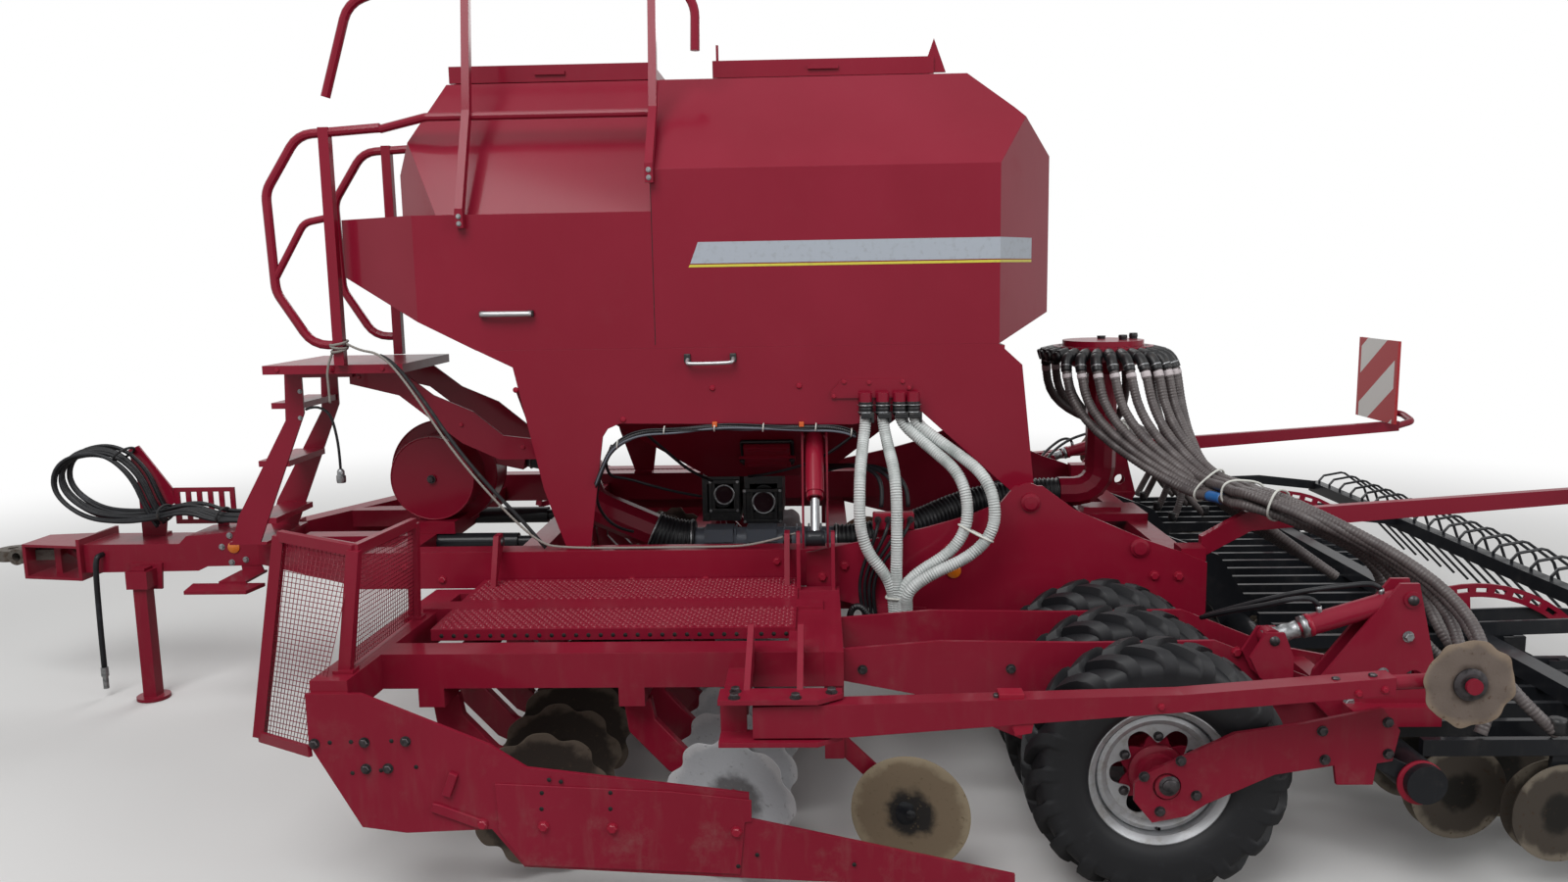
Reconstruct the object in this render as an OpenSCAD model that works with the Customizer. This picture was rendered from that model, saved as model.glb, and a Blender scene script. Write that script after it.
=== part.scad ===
// Disc-harrow seed drill, drawn with +X towards the tractor, +Y left, +Z up, in mm.
// Lengths along X are measured from the packer axle; the last step centres the drill on its origin.

/* [Overall] */
// front of the towing eye, from the packer axle
front_reach = 4800; // [4600:10:5000]
// rear of the harrow tines, from the packer axle
rear_reach = 2600; // [2400:10:2900]
// half of the working width
half_work = 2000; // [1950:10:2100]

/* [Tyre packer] */
// tyre diameter over the lugs
tyre_d = 780; // [760:5:800]
// tyre width
tyre_w = 200; // [180:5:220]
// distance between tyre centres
tyre_pitch = 330; // [326:1:334]
// rim diameter at the bead
rim_d = 410; // [390:5:430]
// packer axle diameter
axle_d = 70; // [60:1:80]
// lugs on each half of a tyre
lug_count = 14; // [10:1:18]

/* [Hopper] */
// half width of the hopper at its side walls
hop_half = 850; // [820:5:870]
// height of the lower crease
hop_z0 = 1600; // [1580:5:1620]
// height of the roof crease behind the step
hop_z1 = 2250; // [2200:5:2300]
// height of the roof's flat top
hop_z2 = 2620; // [2560:5:2680]
// sheet thickness
hop_t = 8; // [6:1:12]

/* [Frame] */
// distance of the long beams from the centre plane
rail_y = 860; // [850:5:870]
// top of the long beams
rail_top = 845; // [835:5:855]
// height of the long beams
rail_h = 140; // [120:5:160]

/* [Wing] */
// distance of the fold hinge from the centre plane
hinge_y = 930; // [920:5:940]
// height of the fold hinge
hinge_z = 890; // [885:5:900]
// top of the wing frame
wing_top = 730; // [715:5:735]
// side of the wing frame's square tube
tube = 110; // [100:5:120]

/* [Discs] */
// harrow disc diameter
disc_d = 430; // [410:5:450]
// seed disc diameter
seed_disc_d = 300; // [280:5:320]
// press wheel diameter
press_d = 310; // [290:5:320]
// distance between seed rows
row_pitch = 143; // [140:1:146]

/* [Hidden] */
$fn = 48;
centre_x = -(front_reach - rear_reach) / 2;
axle_z = tyre_d / 2;
gap = 5;
seat = 0.3;
rail_w = 100;
rail_out = rail_y + rail_w / 2;
arch_t = 15;
arch_y = 985;
outer_y = half_work - 20;
wing_in = 1010;
front_bar_x = 2300;
rear_bar_x = 920;
outer_tube_y = outer_y - 340;
ram_y = outer_y - 274;
side_t = 12;
wing_bottom = wing_top - tube;
step_x = 1590;
step_z = 2100;
disc_z = 260;
press_z = 270;
seed_z = 260;
red = "#8E1420";
dark = "#2A2A2C";
steel = "#9A9C9E";
black = "#18181A";
silver = "#B4B6B8";
hose_grey = "#7C7674";
hose_white = "#D8D8D4";

function along(a, b, t) = a + (b - a) * t;
function unit(v) = v / norm(v);

// box given by its ranges along X, Y and Z
module box(x, y, z) {
  translate([x[0], y[0], z[0]]) cube([x[1] - x[0], y[1] - y[0], z[1] - z[0]]);
}

// plate cut from an outline in X and Z, between two Y values
module plate_xz(points, y) {
  translate([0, y[1], 0]) rotate([90, 0, 0]) linear_extrude(y[1] - y[0]) polygon(points);
}

// plate cut from an outline in X and Y, between two heights
module plate_xy(points, z) {
  translate([0, 0, z[0]]) linear_extrude(z[1] - z[0]) polygon(points);
}

// plate cut from an outline in Y and Z, between two X values
module plate_yz(points, x) {
  translate([x[0], 0, 0]) rotate([90, 0, 90]) linear_extrude(x[1] - x[0]) polygon(points);
}

// puts its children on the line from a to b, with their Z axis along it
module along_line(a, b) {
  v = b - a;
  translate(a) rotate([0, acos(v[2] / norm(v)), atan2(v[1], v[0])]) children();
}

module rod(a, b, d) {
  along_line(a, b) cylinder(h = norm(b - a), r = d / 2);
}

// rectangular bar from a to b, h high and w wide
module bar(a, b, h, w) {
  along_line(a, b) translate([-h / 2, -w / 2, 0]) cube([h, w, norm(b - a)]);
}

// disc with its axis along Y, centred on the point
module disc_y(p, d, w) {
  translate([p[0], p[1] + w / 2, p[2]]) rotate([90, 0, 0]) cylinder(h = w, r = d / 2);
}

// sweep of a round section along a list of points
function tangent(p, i) = unit(p[min(i + 1, len(p) - 1)] - p[max(i - 1, 0)]);
function side_of(t) = abs(t[2]) > 0.9 ? unit(cross(t, [1, 0, 0])) : unit(cross(t, [0, 0, 1]));
function carry(t, s) = unit(s - t * (s * t));
function sides(p, i = 0, s = undef) = i >= len(p) ? [] :
  let (t = tangent(p, i), q = s == undef ? side_of(t) : carry(t, s)) concat([q], sides(p, i + 1, q));
module sweep(p, d, n = 8) {
  s = sides(p);
  points = [for (i = [0:len(p) - 1]) for (k = [0:n - 1])
    let (a = 360 * k / n, t = tangent(p, i)) p[i] + (s[i] * cos(a) + cross(t, s[i]) * sin(a)) * d / 2];
  last = (len(p) - 1) * n;
  faces = concat([[for (k = [0:n - 1]) k]], [[for (k = [n - 1:-1:0]) last + k]],
    [for (i = [0:len(p) - 2]) for (k = [0:n - 1]) let (a = i * n + k, b = i * n + (k + 1) % n) [b, a,
        a + n, b + n]]);
  polyhedron(points = points, faces = faces, convexity = 6);
}

// round tube through a list of points, bent with the given radius, steps facets to a bend
function bend_dir(p) = [for (i = [0:len(p) - 2]) unit(p[i + 1] - p[i])];
function bend_route(p, bend, steps) = let (u = bend_dir(p)) concat([p[0]], [for (i = [1:len(p) - 2])
  let (turn = acos(u[i - 1] * u[i]), n = unit(u[i] - u[i - 1] * (u[i] * u[i - 1])),
      c = p[i] - u[i - 1] * bend * tan(turn / 2) + n * bend)
  for (k = [0:steps]) c - n * bend * cos(turn * k / steps) + u[i - 1] * bend * sin(turn * k / steps)],
      [p[len(p) - 1]]);
module bent_tube(p, d, bend, n = 10, steps = 4) {
  sweep(bend_route(p, bend, steps), d, n);
}

// smooth curve through the middles of a route's legs, n points to a leg
function bend_point(a, c, b, t) = a * (1 - t) * (1 - t) + c * 2 * t * (1 - t) + b * t * t;
function curve(p, n = 3) = concat([p[0]], [for (i = [1:len(p) - 2])
  let (a = i == 1 ? p[0] : (p[i - 1] + p[i]) / 2, b = i == len(p) - 2 ? p[len(p) - 1] : (p[i] + p[i + 1]) / 2)
  for (k = [1:n]) bend_point(a, p[i], b, k / n)]);

module mirrored() {
  children();
  mirror([0, 1, 0]) children();
}

eye_r = 70;
cross_x = 2740;
cross_l = 100;
eye_z = 640;
nose_x = front_reach - 180;
hitch_x = front_reach - 480;
jack_x = front_reach - 765;
spread_x = front_reach - 1400;
draw_top = 705;
jack_w = 60;
jack_y = 166;

module tow_eye() color(steel) {
  difference() {
    union() {
      translate([front_reach - eye_r, 0, eye_z - 25]) cylinder(h = 50, r = eye_r);
      box([nose_x - 120, front_reach - 90], [-35, 35], [eye_z - 24, eye_z + 24]);
      disc_y([nose_x + 50, 0, eye_z], 76, 150);
    }
    translate([front_reach - eye_r, 0, eye_z - 40]) cylinder(h = 80, r = 25);
    disc_y([nose_x + 50, 0, eye_z], 40, 160);
  }
}

module drawbar() color(red) {
  // hitch box, open at its sides
  plate_xy([[nose_x, -100], [nose_x, 100], [hitch_x, 150], [hitch_x, -150]], [693, 705]);
  plate_xy([[nose_x, -100], [nose_x, 100], [hitch_x, 150], [hitch_x, -150]], [545, 557]);
  box([hitch_x, hitch_x + 15], [-150, 150], [545, 735]);
  difference() {
    box([nose_x - 15, nose_x], [-100, 100], [545, 705]);
    box([nose_x - 20, nose_x + 5], [-36, 36], [eye_z - 25, eye_z + 25]);
  }
  box([nose_x - 150, nose_x - 120 - seat], [-60, 60], [550, 700]);
  plate_xz([[hitch_x + 15, 560], [hitch_x + 15, 590], [nose_x - 130, 690], [nose_x - 130, 660]], [-20, 20]);
  // main tube with its notch, then the part that carries the ladder
  plate_xz([[hitch_x + 10, 575], [hitch_x + 10, draw_top], [spread_x + 480, draw_top],
      [spread_x + 445, 740], [spread_x, 775], [spread_x, 605],
    [spread_x + 360, 600], [spread_x + 400, 580]], [-120, 120]);
  // arms that spread to the long beams
  difference() {
    mirrored() bar([spread_x + 80, 90, 680], [2690, rail_y, rail_top - rail_h / 2], rail_h, rail_w);
    box([2500, cross_x], [-1200, 1200], [500, 1000]);
  }
  // tubes that hold the front rams
  mirrored() box([cross_x, 3225], [230, 330], [700, 780]);
  // bracket for the jack
  plate_xz([[jack_x + 75, 620], [jack_x + 65, 500], [jack_x - 65, 500], [jack_x - 75, 620]], [119, 131]);
  difference() {
    box([jack_x - jack_w / 2 - 18, jack_x + jack_w / 2 + 18], [130, jack_y + jack_w / 2 + 18], [520, 600]);
    box([jack_x - jack_w / 2 - gap, jack_x + jack_w / 2 + gap], [120, jack_y + jack_w / 2 + gap],
        [500, 620]);
  }
  // step on its bracket
  plate_xy([[spread_x + 330, 300], [spread_x + 300, 430], [spread_x + 30, 430], [spread_x + 10, 300]],
      [555, 570]);
  plate_xz([[spread_x + 220, 740], [spread_x + 160, 740], [spread_x + 100, 570], [spread_x + 200, 570]],
      [110, 118]);
  box([spread_x + 90, spread_x + 210], [110, 310], [570, 580]);
}

module front_rams() color(black) {
  mirrored() {
    rod([cross_x - cross_l - seat, 280, 740], [2290, 280, 740], 76);
    rod([2292, 280, 740], [2190 + seat, 280, 740], 50);
  }
}

module jack_leg() color(red) {
  translate([jack_x, jack_y, 0]) {
    box([-jack_w / 2, jack_w / 2], [-jack_w / 2, jack_w / 2], [12, 610]);
    cylinder(h = 14, r = 70);
  }
}

module hose_holder() color(red) translate([jack_x, 0, 0]) {
  plate_xz([[115, 710], [115, 960], [145, 1110], [95, 1130], [-45, 930], [-55, 860], [-15, 840], [5, 710]],
      [-66, -56]);
  box([5, 115], [-110, -56], [draw_top, 717]);
  difference() {
    box([-335, -50], [-68, -58], [760, 930]);
    for (k = [0:4]) box([52 * k - 313, 52 * k - 283], [-80, -40], [780, 910]);
  }
  plate_xz([[-295, 749], [-245, 745], [-245, 762], [-295, 762]], [-68, -58]);
}

loop_route = [[3985, -30, 800], [4020, -20, 860], [4080, -20, 1040], [4210, -10, 1150], [4400, 0, 1110],
    [4440, 10, 970], [4300, 20, 850],
  [4120, 20, 830], [3960, 20, 850], [3830, 10, 880], [3700, 10, 830], [3600, 10, 830]];
hose_end = [3560, 10, 765];
module hydraulic_hoses() color(black) {
  for (k = [0:3]) sweep(curve(concat([for (q = loop_route) q + [k % 2 * 16, k * 30, k * -8]],
      [hose_end + [0, k * 30, 30], hose_end + [0, k * 30, 0]]), 2), 28, 6);
}

module hanging_hose() color(black) {
  sweep(curve([[4235, 120 + seat, 660], [4235, 140, 660], [4240, 158, 655], [4250, 158, 600],
      [4258, 152, 450], [4262, 150, 250], [4262, 150, 140 + seat]]), 24);
}

module hose_coupling() color(steel) {
  translate([4262, 150, 40]) cylinder(h = 60, r = 12);
  translate([4262, 150, 99]) cylinder(h = 41, r = 16);
}

ladder_y = [100, 450];
ladder_foot = [spread_x, 780];
ladder_top = [3130, 1505 - seat];
module ladder() color(red) {
  for (y = ladder_y) plate_xz([[ladder_foot[0] + 60, ladder_foot[1]],
      [ladder_foot[0] - 60, ladder_foot[1]], [ladder_top[0] - 20, 1330],
    [ladder_top[0] - 20, ladder_top[1]], [ladder_top[0] + 50, ladder_top[1]], [ladder_top[0] + 60, 1300],
        [ladder_foot[0] + 20, 900]], [y - 5, y + 5]);
  for (k = [0:2]) {
    p = [along(ladder_foot[0] - 30, ladder_top[0] + 20, (k + 0.5) / 3),
        along(ladder_foot[1], ladder_top[1], (k + 0.35) / 3)];
    box([p[0] - 70, p[0] + 60], [ladder_y[0], ladder_y[1]], [p[1], p[1] + 25]);
  }
  box([ladder_foot[0] - 90, ladder_foot[0] + 70], [60, ladder_y[1] + 5], [776, 788]);
}

deck_z = 1540;
module platform() color(red) {
  // deck with its front edge
  box([2620, 3180], [60, 640], [deck_z - 35, deck_z]);
  box([2880, 3100], [60, 500], [deck_z - 60, deck_z - 34]);
  // two curved carriers down to the hopper's front wall
  for (y = [90, 470]) plate_xz([[2900, 1500], [2700, 1510], [2560, 1400], [2400, 1330], [2280, 1230],
      [2123, 1210],
    [2123, 1130], [2300, 1130], [2450, 1200], [2700, 1400], [2900, 1450]], [y, y + 10]);
  plate_yz([[90, 1185], [480, 1185], [480, 1215], [90, 1215]], [2122, 2134]);
}

rail_d = 36;
module hand_rails() color(red) {
  y = 640;
  // loops in front of the ladder, one on each side of the deck
  for (s = [20, y + 20]) {
    bent_tube([[s > 100 ? 2640 : 2533, s, 2440], [2960, s, 2420], [3100, s, 2210], [3090, s, 1830],
        [2960, s, 1620], [2850, s, 1620]], rail_d, 110);
    box([2835, 2875], [s - 18, s + 18], [deck_z, 2445]);
  }
  bent_tube([[2640, y + 20, 2435], [2450, y + 60, 2470], [1580, y + 60, 2470]], rail_d - 4, 60);
  bent_tube([[3088, y + 20, 1880], [2960, y + 20, 2090], [2855, y + 20, 2110]], rail_d - 8, 60);
  // rail over the lids on its two posts
  bent_tube([[2850, y, 2560], [2740, y, 2900], [2560, y, 2960], [1500, y, 2960], [1430, y, 2860],
      [1435, y, 2700]], rail_d, 120);
  for (q = [[2290, step_z], [step_x, hop_z1]]) plate_yz([[hop_half, q[1] - 50], [hop_half + 34, q[1] - 50],
      [hop_half + 34, q[1] + 20],
    [y + 88, 2490], [y + 16, 2955], [y - 16, 2955], [y + 56, 2480], [hop_half, q[1] + 10]],
        [q[0] - 15, q[0] + 15]);
}

// closed outer form of the hopper, drawn in by d on every side
module hopper_body(d) {
  y = hop_half - d;
  // rear part
  intersection() {
    plate_xz([[320 + d, hop_z0], [step_x - d, hop_z0], [step_x - d, hop_z2 - d], [400, hop_z2 - d],
        [240 + d, 2470 - d], [80 + d, 2300],
      [80 + d, 1700]], [-y, y]);
    plate_yz([[-y, hop_z0], [-y, hop_z1 - d / 2], [-500 + d / 2, hop_z2 - d], [500 - d / 2, hop_z2 - d],
        [y, hop_z1 - d / 2], [y, hop_z0]], [0, step_x]);
    plate_xy([[step_x, y], [320 + d, y], [80 + d, 500], [80 + d, -500], [320 + d, -y], [step_x, -y]],
        [1500, hop_z2]);
  }
  // front part, up to the step
  intersection() {
    plate_xz([[step_x + d, hop_z0], [2260 - d, hop_z0], [2475 - d, hop_z0 + 110 + d],
        [2830 - d, hop_z0 + 280 + d], [2830 - d, step_z - d],
      [step_x + d, step_z - d]], [-y, y]);
    plate_xy([[step_x, y], [2475 - d, y], [2830 - d, 620 - d], [2830 - d, d - 620], [2475 - d, -y],
        [step_x, -y]], [hop_z0, step_z]);
  }
  // front part, above the step
  intersection() {
    plate_xz([[step_x + d, step_z - 3 * d], [2610 - d, step_z - 3 * d], [2610 - d, 2270],
        [2430 - d, hop_z2 - d], [step_x + d, hop_z2 - d]], [-y, y]);
    plate_yz([[d - 800, step_z - 3 * d], [d - 800, step_z], [-490 + d / 2, hop_z2 - d],
        [490 - d / 2, hop_z2 - d], [800 - d, step_z], [800 - d, step_z - 3 * d]],
      [step_x, 2620]);
    plate_xy([[step_x, 800 - d], [2400 - d, 800 - d], [2610 - d, 560 - d], [2610 - d, d - 560],
        [2400 - d, d - 800], [step_x, d - 800]], [2000, hop_z2]);
  }
}

spigot_x = [815, 752, 690, 690 - 50];
spigot_z = 1370;
pipe_top = [705, arch_y + 90, 510];
funnel_x = [980, 1470];
funnel_z = 1000;
module funnel(d) {
  // a wall that leans is wider across than it is thick
  w = 1.6 * d;
  hull() {
    translate([funnel_x[0] + w, w - 200, funnel_z - (d > 0 ? 1 : 0)])
        cube([funnel_x[1] - funnel_x[0] - 2 * w, 400 - 2 * w, 1]);
    translate([330 + w, w + 14 - hop_half, hop_z0]) cube([1910 - 2 * w, 2 * hop_half - 28 - 2 * w, 1 + d]);
  }
}

lid_x = [[1650, 2420], [540, 1370]];
module hopper() color(red) {
  difference() {
    union() {
      hopper_body(0);
      funnel(0);
    }
    difference() {
      union() {
        hopper_body(hop_t);
        funnel(hop_t);
      }
      plate_xz([[1221, 900], [1229, 900], [step_x + hop_t, hop_z0 + 10], [step_x - hop_t, hop_z0 + 10]],
          [-900, 900]);
    }
    for (x = lid_x) box([x[0] + 20, x[1] - 20], [-380, 380], [hop_z2 - 100, hop_z2 + 100]);
  }
  // rims round the openings
  for (x = lid_x) difference() {
    box(x, [-400, 400], [hop_z2 - 1, hop_z2 + 35]);
    box([x[0] + 20, x[1] - 20], [-380, 380], [hop_z2 - 100, hop_z2 + 100]);
  }
  // plate with spigots for the white hoses
  plate_xz([[900, 1475], [660, 1475], [640, 1455], [640, 1405], [940, 1405], [940, 1430]],
      [hop_half, hop_half + 8]);
  for (x = spigot_x) {
    translate([x, hop_half + 50, spigot_z]) cylinder(h = 60, r = 24);
    box([x - 15, x + 15], [hop_half, hop_half + 50], [spigot_z + 20, spigot_z + 50]);
  }
  // hatch on the funnel
  translate([1205, 0, 0]) for (q = [[0, 100, 26], [-82, 74, 44]])
      along_line([0, 345, 1128], [0, 345 - 68, 1128 + 72])
      translate([-70, q[0] < 0 ? -82 : -95, -q[2] / 2]) cube([140, q[0] < 0 ? 164 : 190, q[2]]);
}

module hopper_legs() color(red) {
  mirrored() plate_xz([[2258, hop_z0], [2128, 1536], [2031, 1070], [1955, rail_top], [1862, rail_top],
      [1800, 1270], [1780, 1300], [1734, 1320],
    [860, 1306], [606, 1351], [275, 1050], [185, 1050], [235, 1520], [322, hop_z0]],
        [hop_half - 10, hop_half]);
  mirrored() box([1862, 1955], [min(rail_y - 30, hop_half - 60), hop_half - 1], [rail_top, rail_top + 12]);
  // folded gusset between the side plates behind, and the cross wall in front
  box([300, 312], [1 - hop_half, hop_half - 1], [1440, hop_z0 - 6]);
  plate_yz([[1 - hop_half, 1450], [-560, 1180], [560, 1180], [hop_half - 1, 1450]], [2110, 2122]);
}

module lid(x) {
  z = hop_z2 + 35 + seat;
  difference() {
    box([x[0] - 20, x[1] + 20], [-420, 420], [z - 20, z + 45]);
    box([x[0] - 8, x[1] + 8], [-408, 408], [z - 30, z]);
  }
  box([x[0] + 60, x[1] - 60], [-340, 340], [z + 44, z + 56]);
  box([(x[0] + x[1]) / 2 - 60, (x[0] + x[1]) / 2 + 60], [420, 432], [z + 5, z + 20]);
}

module front_lid() color(red) lid(lid_x[0]);
module rear_lid() color(red) lid(lid_x[1]);

meter_x = [1150, 1335];
meter_l = 165;
module meter_units() color(dark) {
  z = funnel_z;
  for (x = meter_x) {
    difference() {
      box([x, x + meter_l], [-190, 190], [800, z - seat]);
      box([x + 30, x + meter_l - 30], [180, 330], [800, 830]);
      box([x + 22, x + meter_l - 22], [-170, 200], [840, 965]);
    }
    rod([x + meter_l / 2, -175, 902], [x + meter_l / 2, 150, 902], 100);
  }
}

fan_c = [2660, 1015];
module fan() color(red) {
  disc_y([fan_c[0], 165, fan_c[1]], 360, 190);
  disc_y([fan_c[0], 15, fan_c[1]], 470, 160);
  bar([fan_c[0] - 60, 15, fan_c[1] + 149], [2290, 15, 1095], 150, 150);
  disc_y([fan_c[0], 262, fan_c[1]], 36, 20);
  box([fan_c[0] - 100, fan_c[0] + 70], [-60, 300], [780, 832]);
}

module air_pipe() color(red) {
  bent_tube([[2200, 15, 1075], [2088, 15, 1050], [1960, 300, 900], [1700, 300, 785]], 150, 110);
}

module air_hoses() color(hose_grey) {
  rod([2289, 15, 1094.8], [2200 + seat, 15, 1075], 140);
  bent_tube([[1700 - seat, 300, 785], [1610, 300, 745], [1520, 300, 745]], 165, 100);
  bent_tube([[930 - seat, 300, 745], [700, 300, 745], [260, 100, 900], [seat - 60, 100, 900]], 120, 160);
}

module injector_pipe() color(silver) {
  rod([1520 - seat, 300, 745], [930, 300, 745], 104);
  for (x = meter_x) box([x + 22, x + meter_l - 22], [240, 360], [745, 800 - seat]);
}

module main_frame() color(red) {
  mirrored() {
    // long beam
    box([600, cross_x], [rail_y - rail_w / 2, rail_out], [rail_top - rail_h, rail_top]);
    // arched plate that carries the packer axle
    difference() {
      union() {
        plate_xz([[1040, 700], [1040, 850], [741, 909], [600, 940], [453, 980], [330, 1030], [280, 1090],
            [180, 1090], [60, 1000], [-191, 889],
          [-317, 844], [-420, 800], [-420, 560], [-100, 320], [120, 320], [500, 560]],
              [arch_y - arch_t, arch_y]);
        disc_y([230, arch_y - arch_t / 2, 1045], 110, arch_t);
      }
      disc_y([0, arch_y, axle_z], axle_d + 2 * gap, 80);
    }
    for (x = [620, 960]) box([x, x + 60], [rail_out - 1, arch_y - arch_t + 1], [720, 800]);
    box([185, 275], [hop_half - 10, arch_y - arch_t + 1], [1000, 1050]);
  }
  // cross beams
  box([cross_x - cross_l, cross_x], [1 - rail_y, rail_y - 1], [rail_top - rail_h, 780]);
  box([2090, 2190], [1 - rail_y, rail_y - 1], [rail_top - rail_h, rail_top - 50]);
  box([860, 960], [-rail_y, rail_y], [600, 680]);
  mirrored() box([870, 950], [rail_y - 40, rail_y - 1], [679, rail_top - rail_h + 1]);
  box([-420, -330], [1 - arch_y, arch_y - 1], [700, 790]);
  // feet of the cross tubes
  mirrored() for (q = disc_rows)
    box([q[0] + 280, q[0] + 340], [rail_y - 40, rail_y + 40], [650, rail_top - rail_h + 1]);
  // pipe that the white hoses end on, with its bracket
  bent_tube([pipe_top, pipe_top - [0, 0, 75], pipe_top - [70, 0, 130]], 50, 36, 10, 4);
  plate_xz([[600, 640], [800, 655], [765, 500], [720, 425], [690, 425], [640, 500]],
      [arch_y - 1, arch_y + 10]);
  box([692, 718], [arch_y + 9, pipe_top[1] - 18], [440, 470]);
  // foot of the distributor tower
  box([-420, -140], [-20, 220], [789, 822]);
  box([-320, -160], [40, 160], [821, 838]);
}

// cross tubes that carry the arms of the harrow discs
module disc_tubes() color(red) for (q = disc_rows)
    box([q[0] + 270, q[0] + 350], [-rail_y - 40, rail_y + 40], [590, 650]);

// brackets of the fold cylinders, welded on the long beams
module fold_brackets() color(red) mirrored() for (q = [[955, 963, 963], [1047, 1055, 1047]]) {
  plate_yz([[rail_y - 40, rail_top], [rail_y + 40, rail_top], [rail_y + 40, 900],
      [barrel_top[1] + 40, 1275], [barrel_top[1] - 30, 1290],
    [barrel_top[1] - 40, 1240], [rail_y - 50, 950]], [q[0], q[1]]);
  rod([q[2], barrel_top[1], barrel_top[2]],
      [barrel_top[0] + (q[2] < barrel_top[0] ? -1 : 1) * (barrel_d / 2 + seat), barrel_top[1], barrel_top[2]], 36);
}

// white hoses: how far each swings to the rear, and outwards from the frame's plate
white_swing = [[-30, 60], [40, 62], [230, 66], [270, 112]];
module white_hoses() color(hose_white) {
  for (k = [0:3]) let (x = spigot_x[k], y = hop_half + 50, q = white_swing[k])
      sweep(concat([[x, y, spigot_z - seat]], curve([[x, y, spigot_z - 12], [x, y, spigot_z - 50],
    [x - q[0] * 0.4, y + 20, 1240], [x - q[0], arch_y + q[1], 1130], [x - q[0], arch_y + q[1] + 20, 900],
    [730 - 14 * k, arch_y + q[1] + 20, 760], [722 - 16 * k, arch_y + 60 + 14 * k, 640],
        [pipe_top[0] + 8, arch_y + 90, 560], pipe_top + [0, 0, 12]], 2), [pipe_top + [0, 0, seat]]), 44);
}

head = [-240, 100, 1530];
head_r = 210;
module distributor() color(red) {
  bent_tube([[head[0], head[1], 1440], [head[0], head[1], 900], [-60, head[1], 900]], 130, 110);
  translate([head[0], head[1], 1420]) cylinder(h = 60, r1 = 65, r2 = head_r - 20);
  translate([head[0], head[1], 1479]) cylinder(h = 60, r = head_r);
  translate([head[0], head[1], 1538]) cylinder(h = 25, r = head_r - 40);
  for (k = [0:27]) rotate_about(head, 360 / 28 * (k + 0.5))
      rod([head[0] + head_r - 30, head[1], 1510], [head[0] + head_r + 30, head[1], 1505], 34);
}
module rotate_about(c, a) translate([c[0], c[1], 0]) rotate(a) translate([-c[0], -c[1], 0]) children();

// one seed hose: where it leaves the head, how it falls and where it ends
module seed_hose(k, target) {
  a = 360 / 28 * (k + 0.5);
  p = [head[0], head[1], 0] + [cos(a) * (head_r + 30.4), sin(a) * (head_r + 30.4), 1505];
  p1 = p + [cos(a) * 22, sin(a) * 22, -2];
  q = [head[0], head[1], 0] + [cos(a) * (head_r + 90), sin(a) * (head_r + 90), 1490];
  fall = [head[0] + cos(a) * (head_r + 110) * 0.9 - 40, head[1] + sin(a) * (head_r + 150), 1250];
  n = len(target) - 1;
  sweep(concat([p], curve(concat([p1, q, fall], target), 2),
      [target[n] + unit(target[n] - target[n - 1]) * 10]), 38, 6);
}

bundle = [-520, 925, 1010];
function offset(k) = [-44 * (k % 4), 0, 44 * floor(k / 4)];
function flip(p) = [p[0], -p[1], p[2]];
module seed_hoses() color(hose_grey) {
  // hoses for the left and right wings end where the wings hinge
  for (k = [0:6]) seed_hose(k + 3, [[-420 - 20 * k, 640, 1000 + 10 * k], bundle + offset(k) - [0, 80, 0],
      bundle + offset(k) - [0, 11, 0]]);
  for (k = [0:6]) seed_hose(18 + k, [[-420 - 20 * k, -640, 1000 + 10 * k],
      flip(bundle + offset(k) - [0, 80, 0]), flip(bundle + offset(k) - [0, 11, 0])]);
  // hoses for the middle rows
  for (k = [0:6]) seed_hose(k + 10, [[-560, 700 - 90 * k, 1000], [-820, 790 - 120 * k, 800],
      [-960, 800 - 130 * k, 700]]);
}

function arch_spot(r, a) = [-1430 + r * cos(a), 180 + r * sin(a)];
module board_arms() color(red) {
  mirrored() {
    plate_xz([[-420, 800], [-420, 880], [-580, 970], [-2010, 1060], [-2010, 1010], [-600, 900]],
        [880, 915]);
    // slotted arch that carries the harrow
    difference() {
      plate_xz([for (a = [138:-6:62]) arch_spot(515, a), for (a = [62:6:138]) arch_spot(465, a)],
          [912, 922]);
      for (a = [68:8:132]) translate([arch_spot(490, a)[0], 917, arch_spot(490, a)[1]]) rotate([0, -a, 0])
          cube([16, 30, 42], center = true);
    }
    plate_xz([[-1415, 540 + seat], [-1355, 540 + seat], [-1365, 655], [-1405, 655]], [912, 922]);
    bent_tube([[-2000, 898, 1032], [-2110, 950, 1050], [-2110, 1080, 1080], [-1936 - seat, 1080, 1080]],
        34, 40);
    box([-420, -330], [880, arch_y - arch_t - seat], [790, 850]);
  }
}

module warning_boards() color("#D9D4CE") {
  mirrored() box([-1936, -1922], [760, 1180], [1060, 1480]);
}

// lug outline of half a tyre: root, rising flank, crown, falling flank
function lug_ring(n, r0, r1, turn) = [for (i = [0:n - 1]) for (q = [[0, r0], [0.12, r1], [0.42, r1],
    [0.54, r0]])
  let (a = 360 * (i + q[0] + turn) / n) [q[1] * cos(a), q[1] * sin(a)]];

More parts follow.
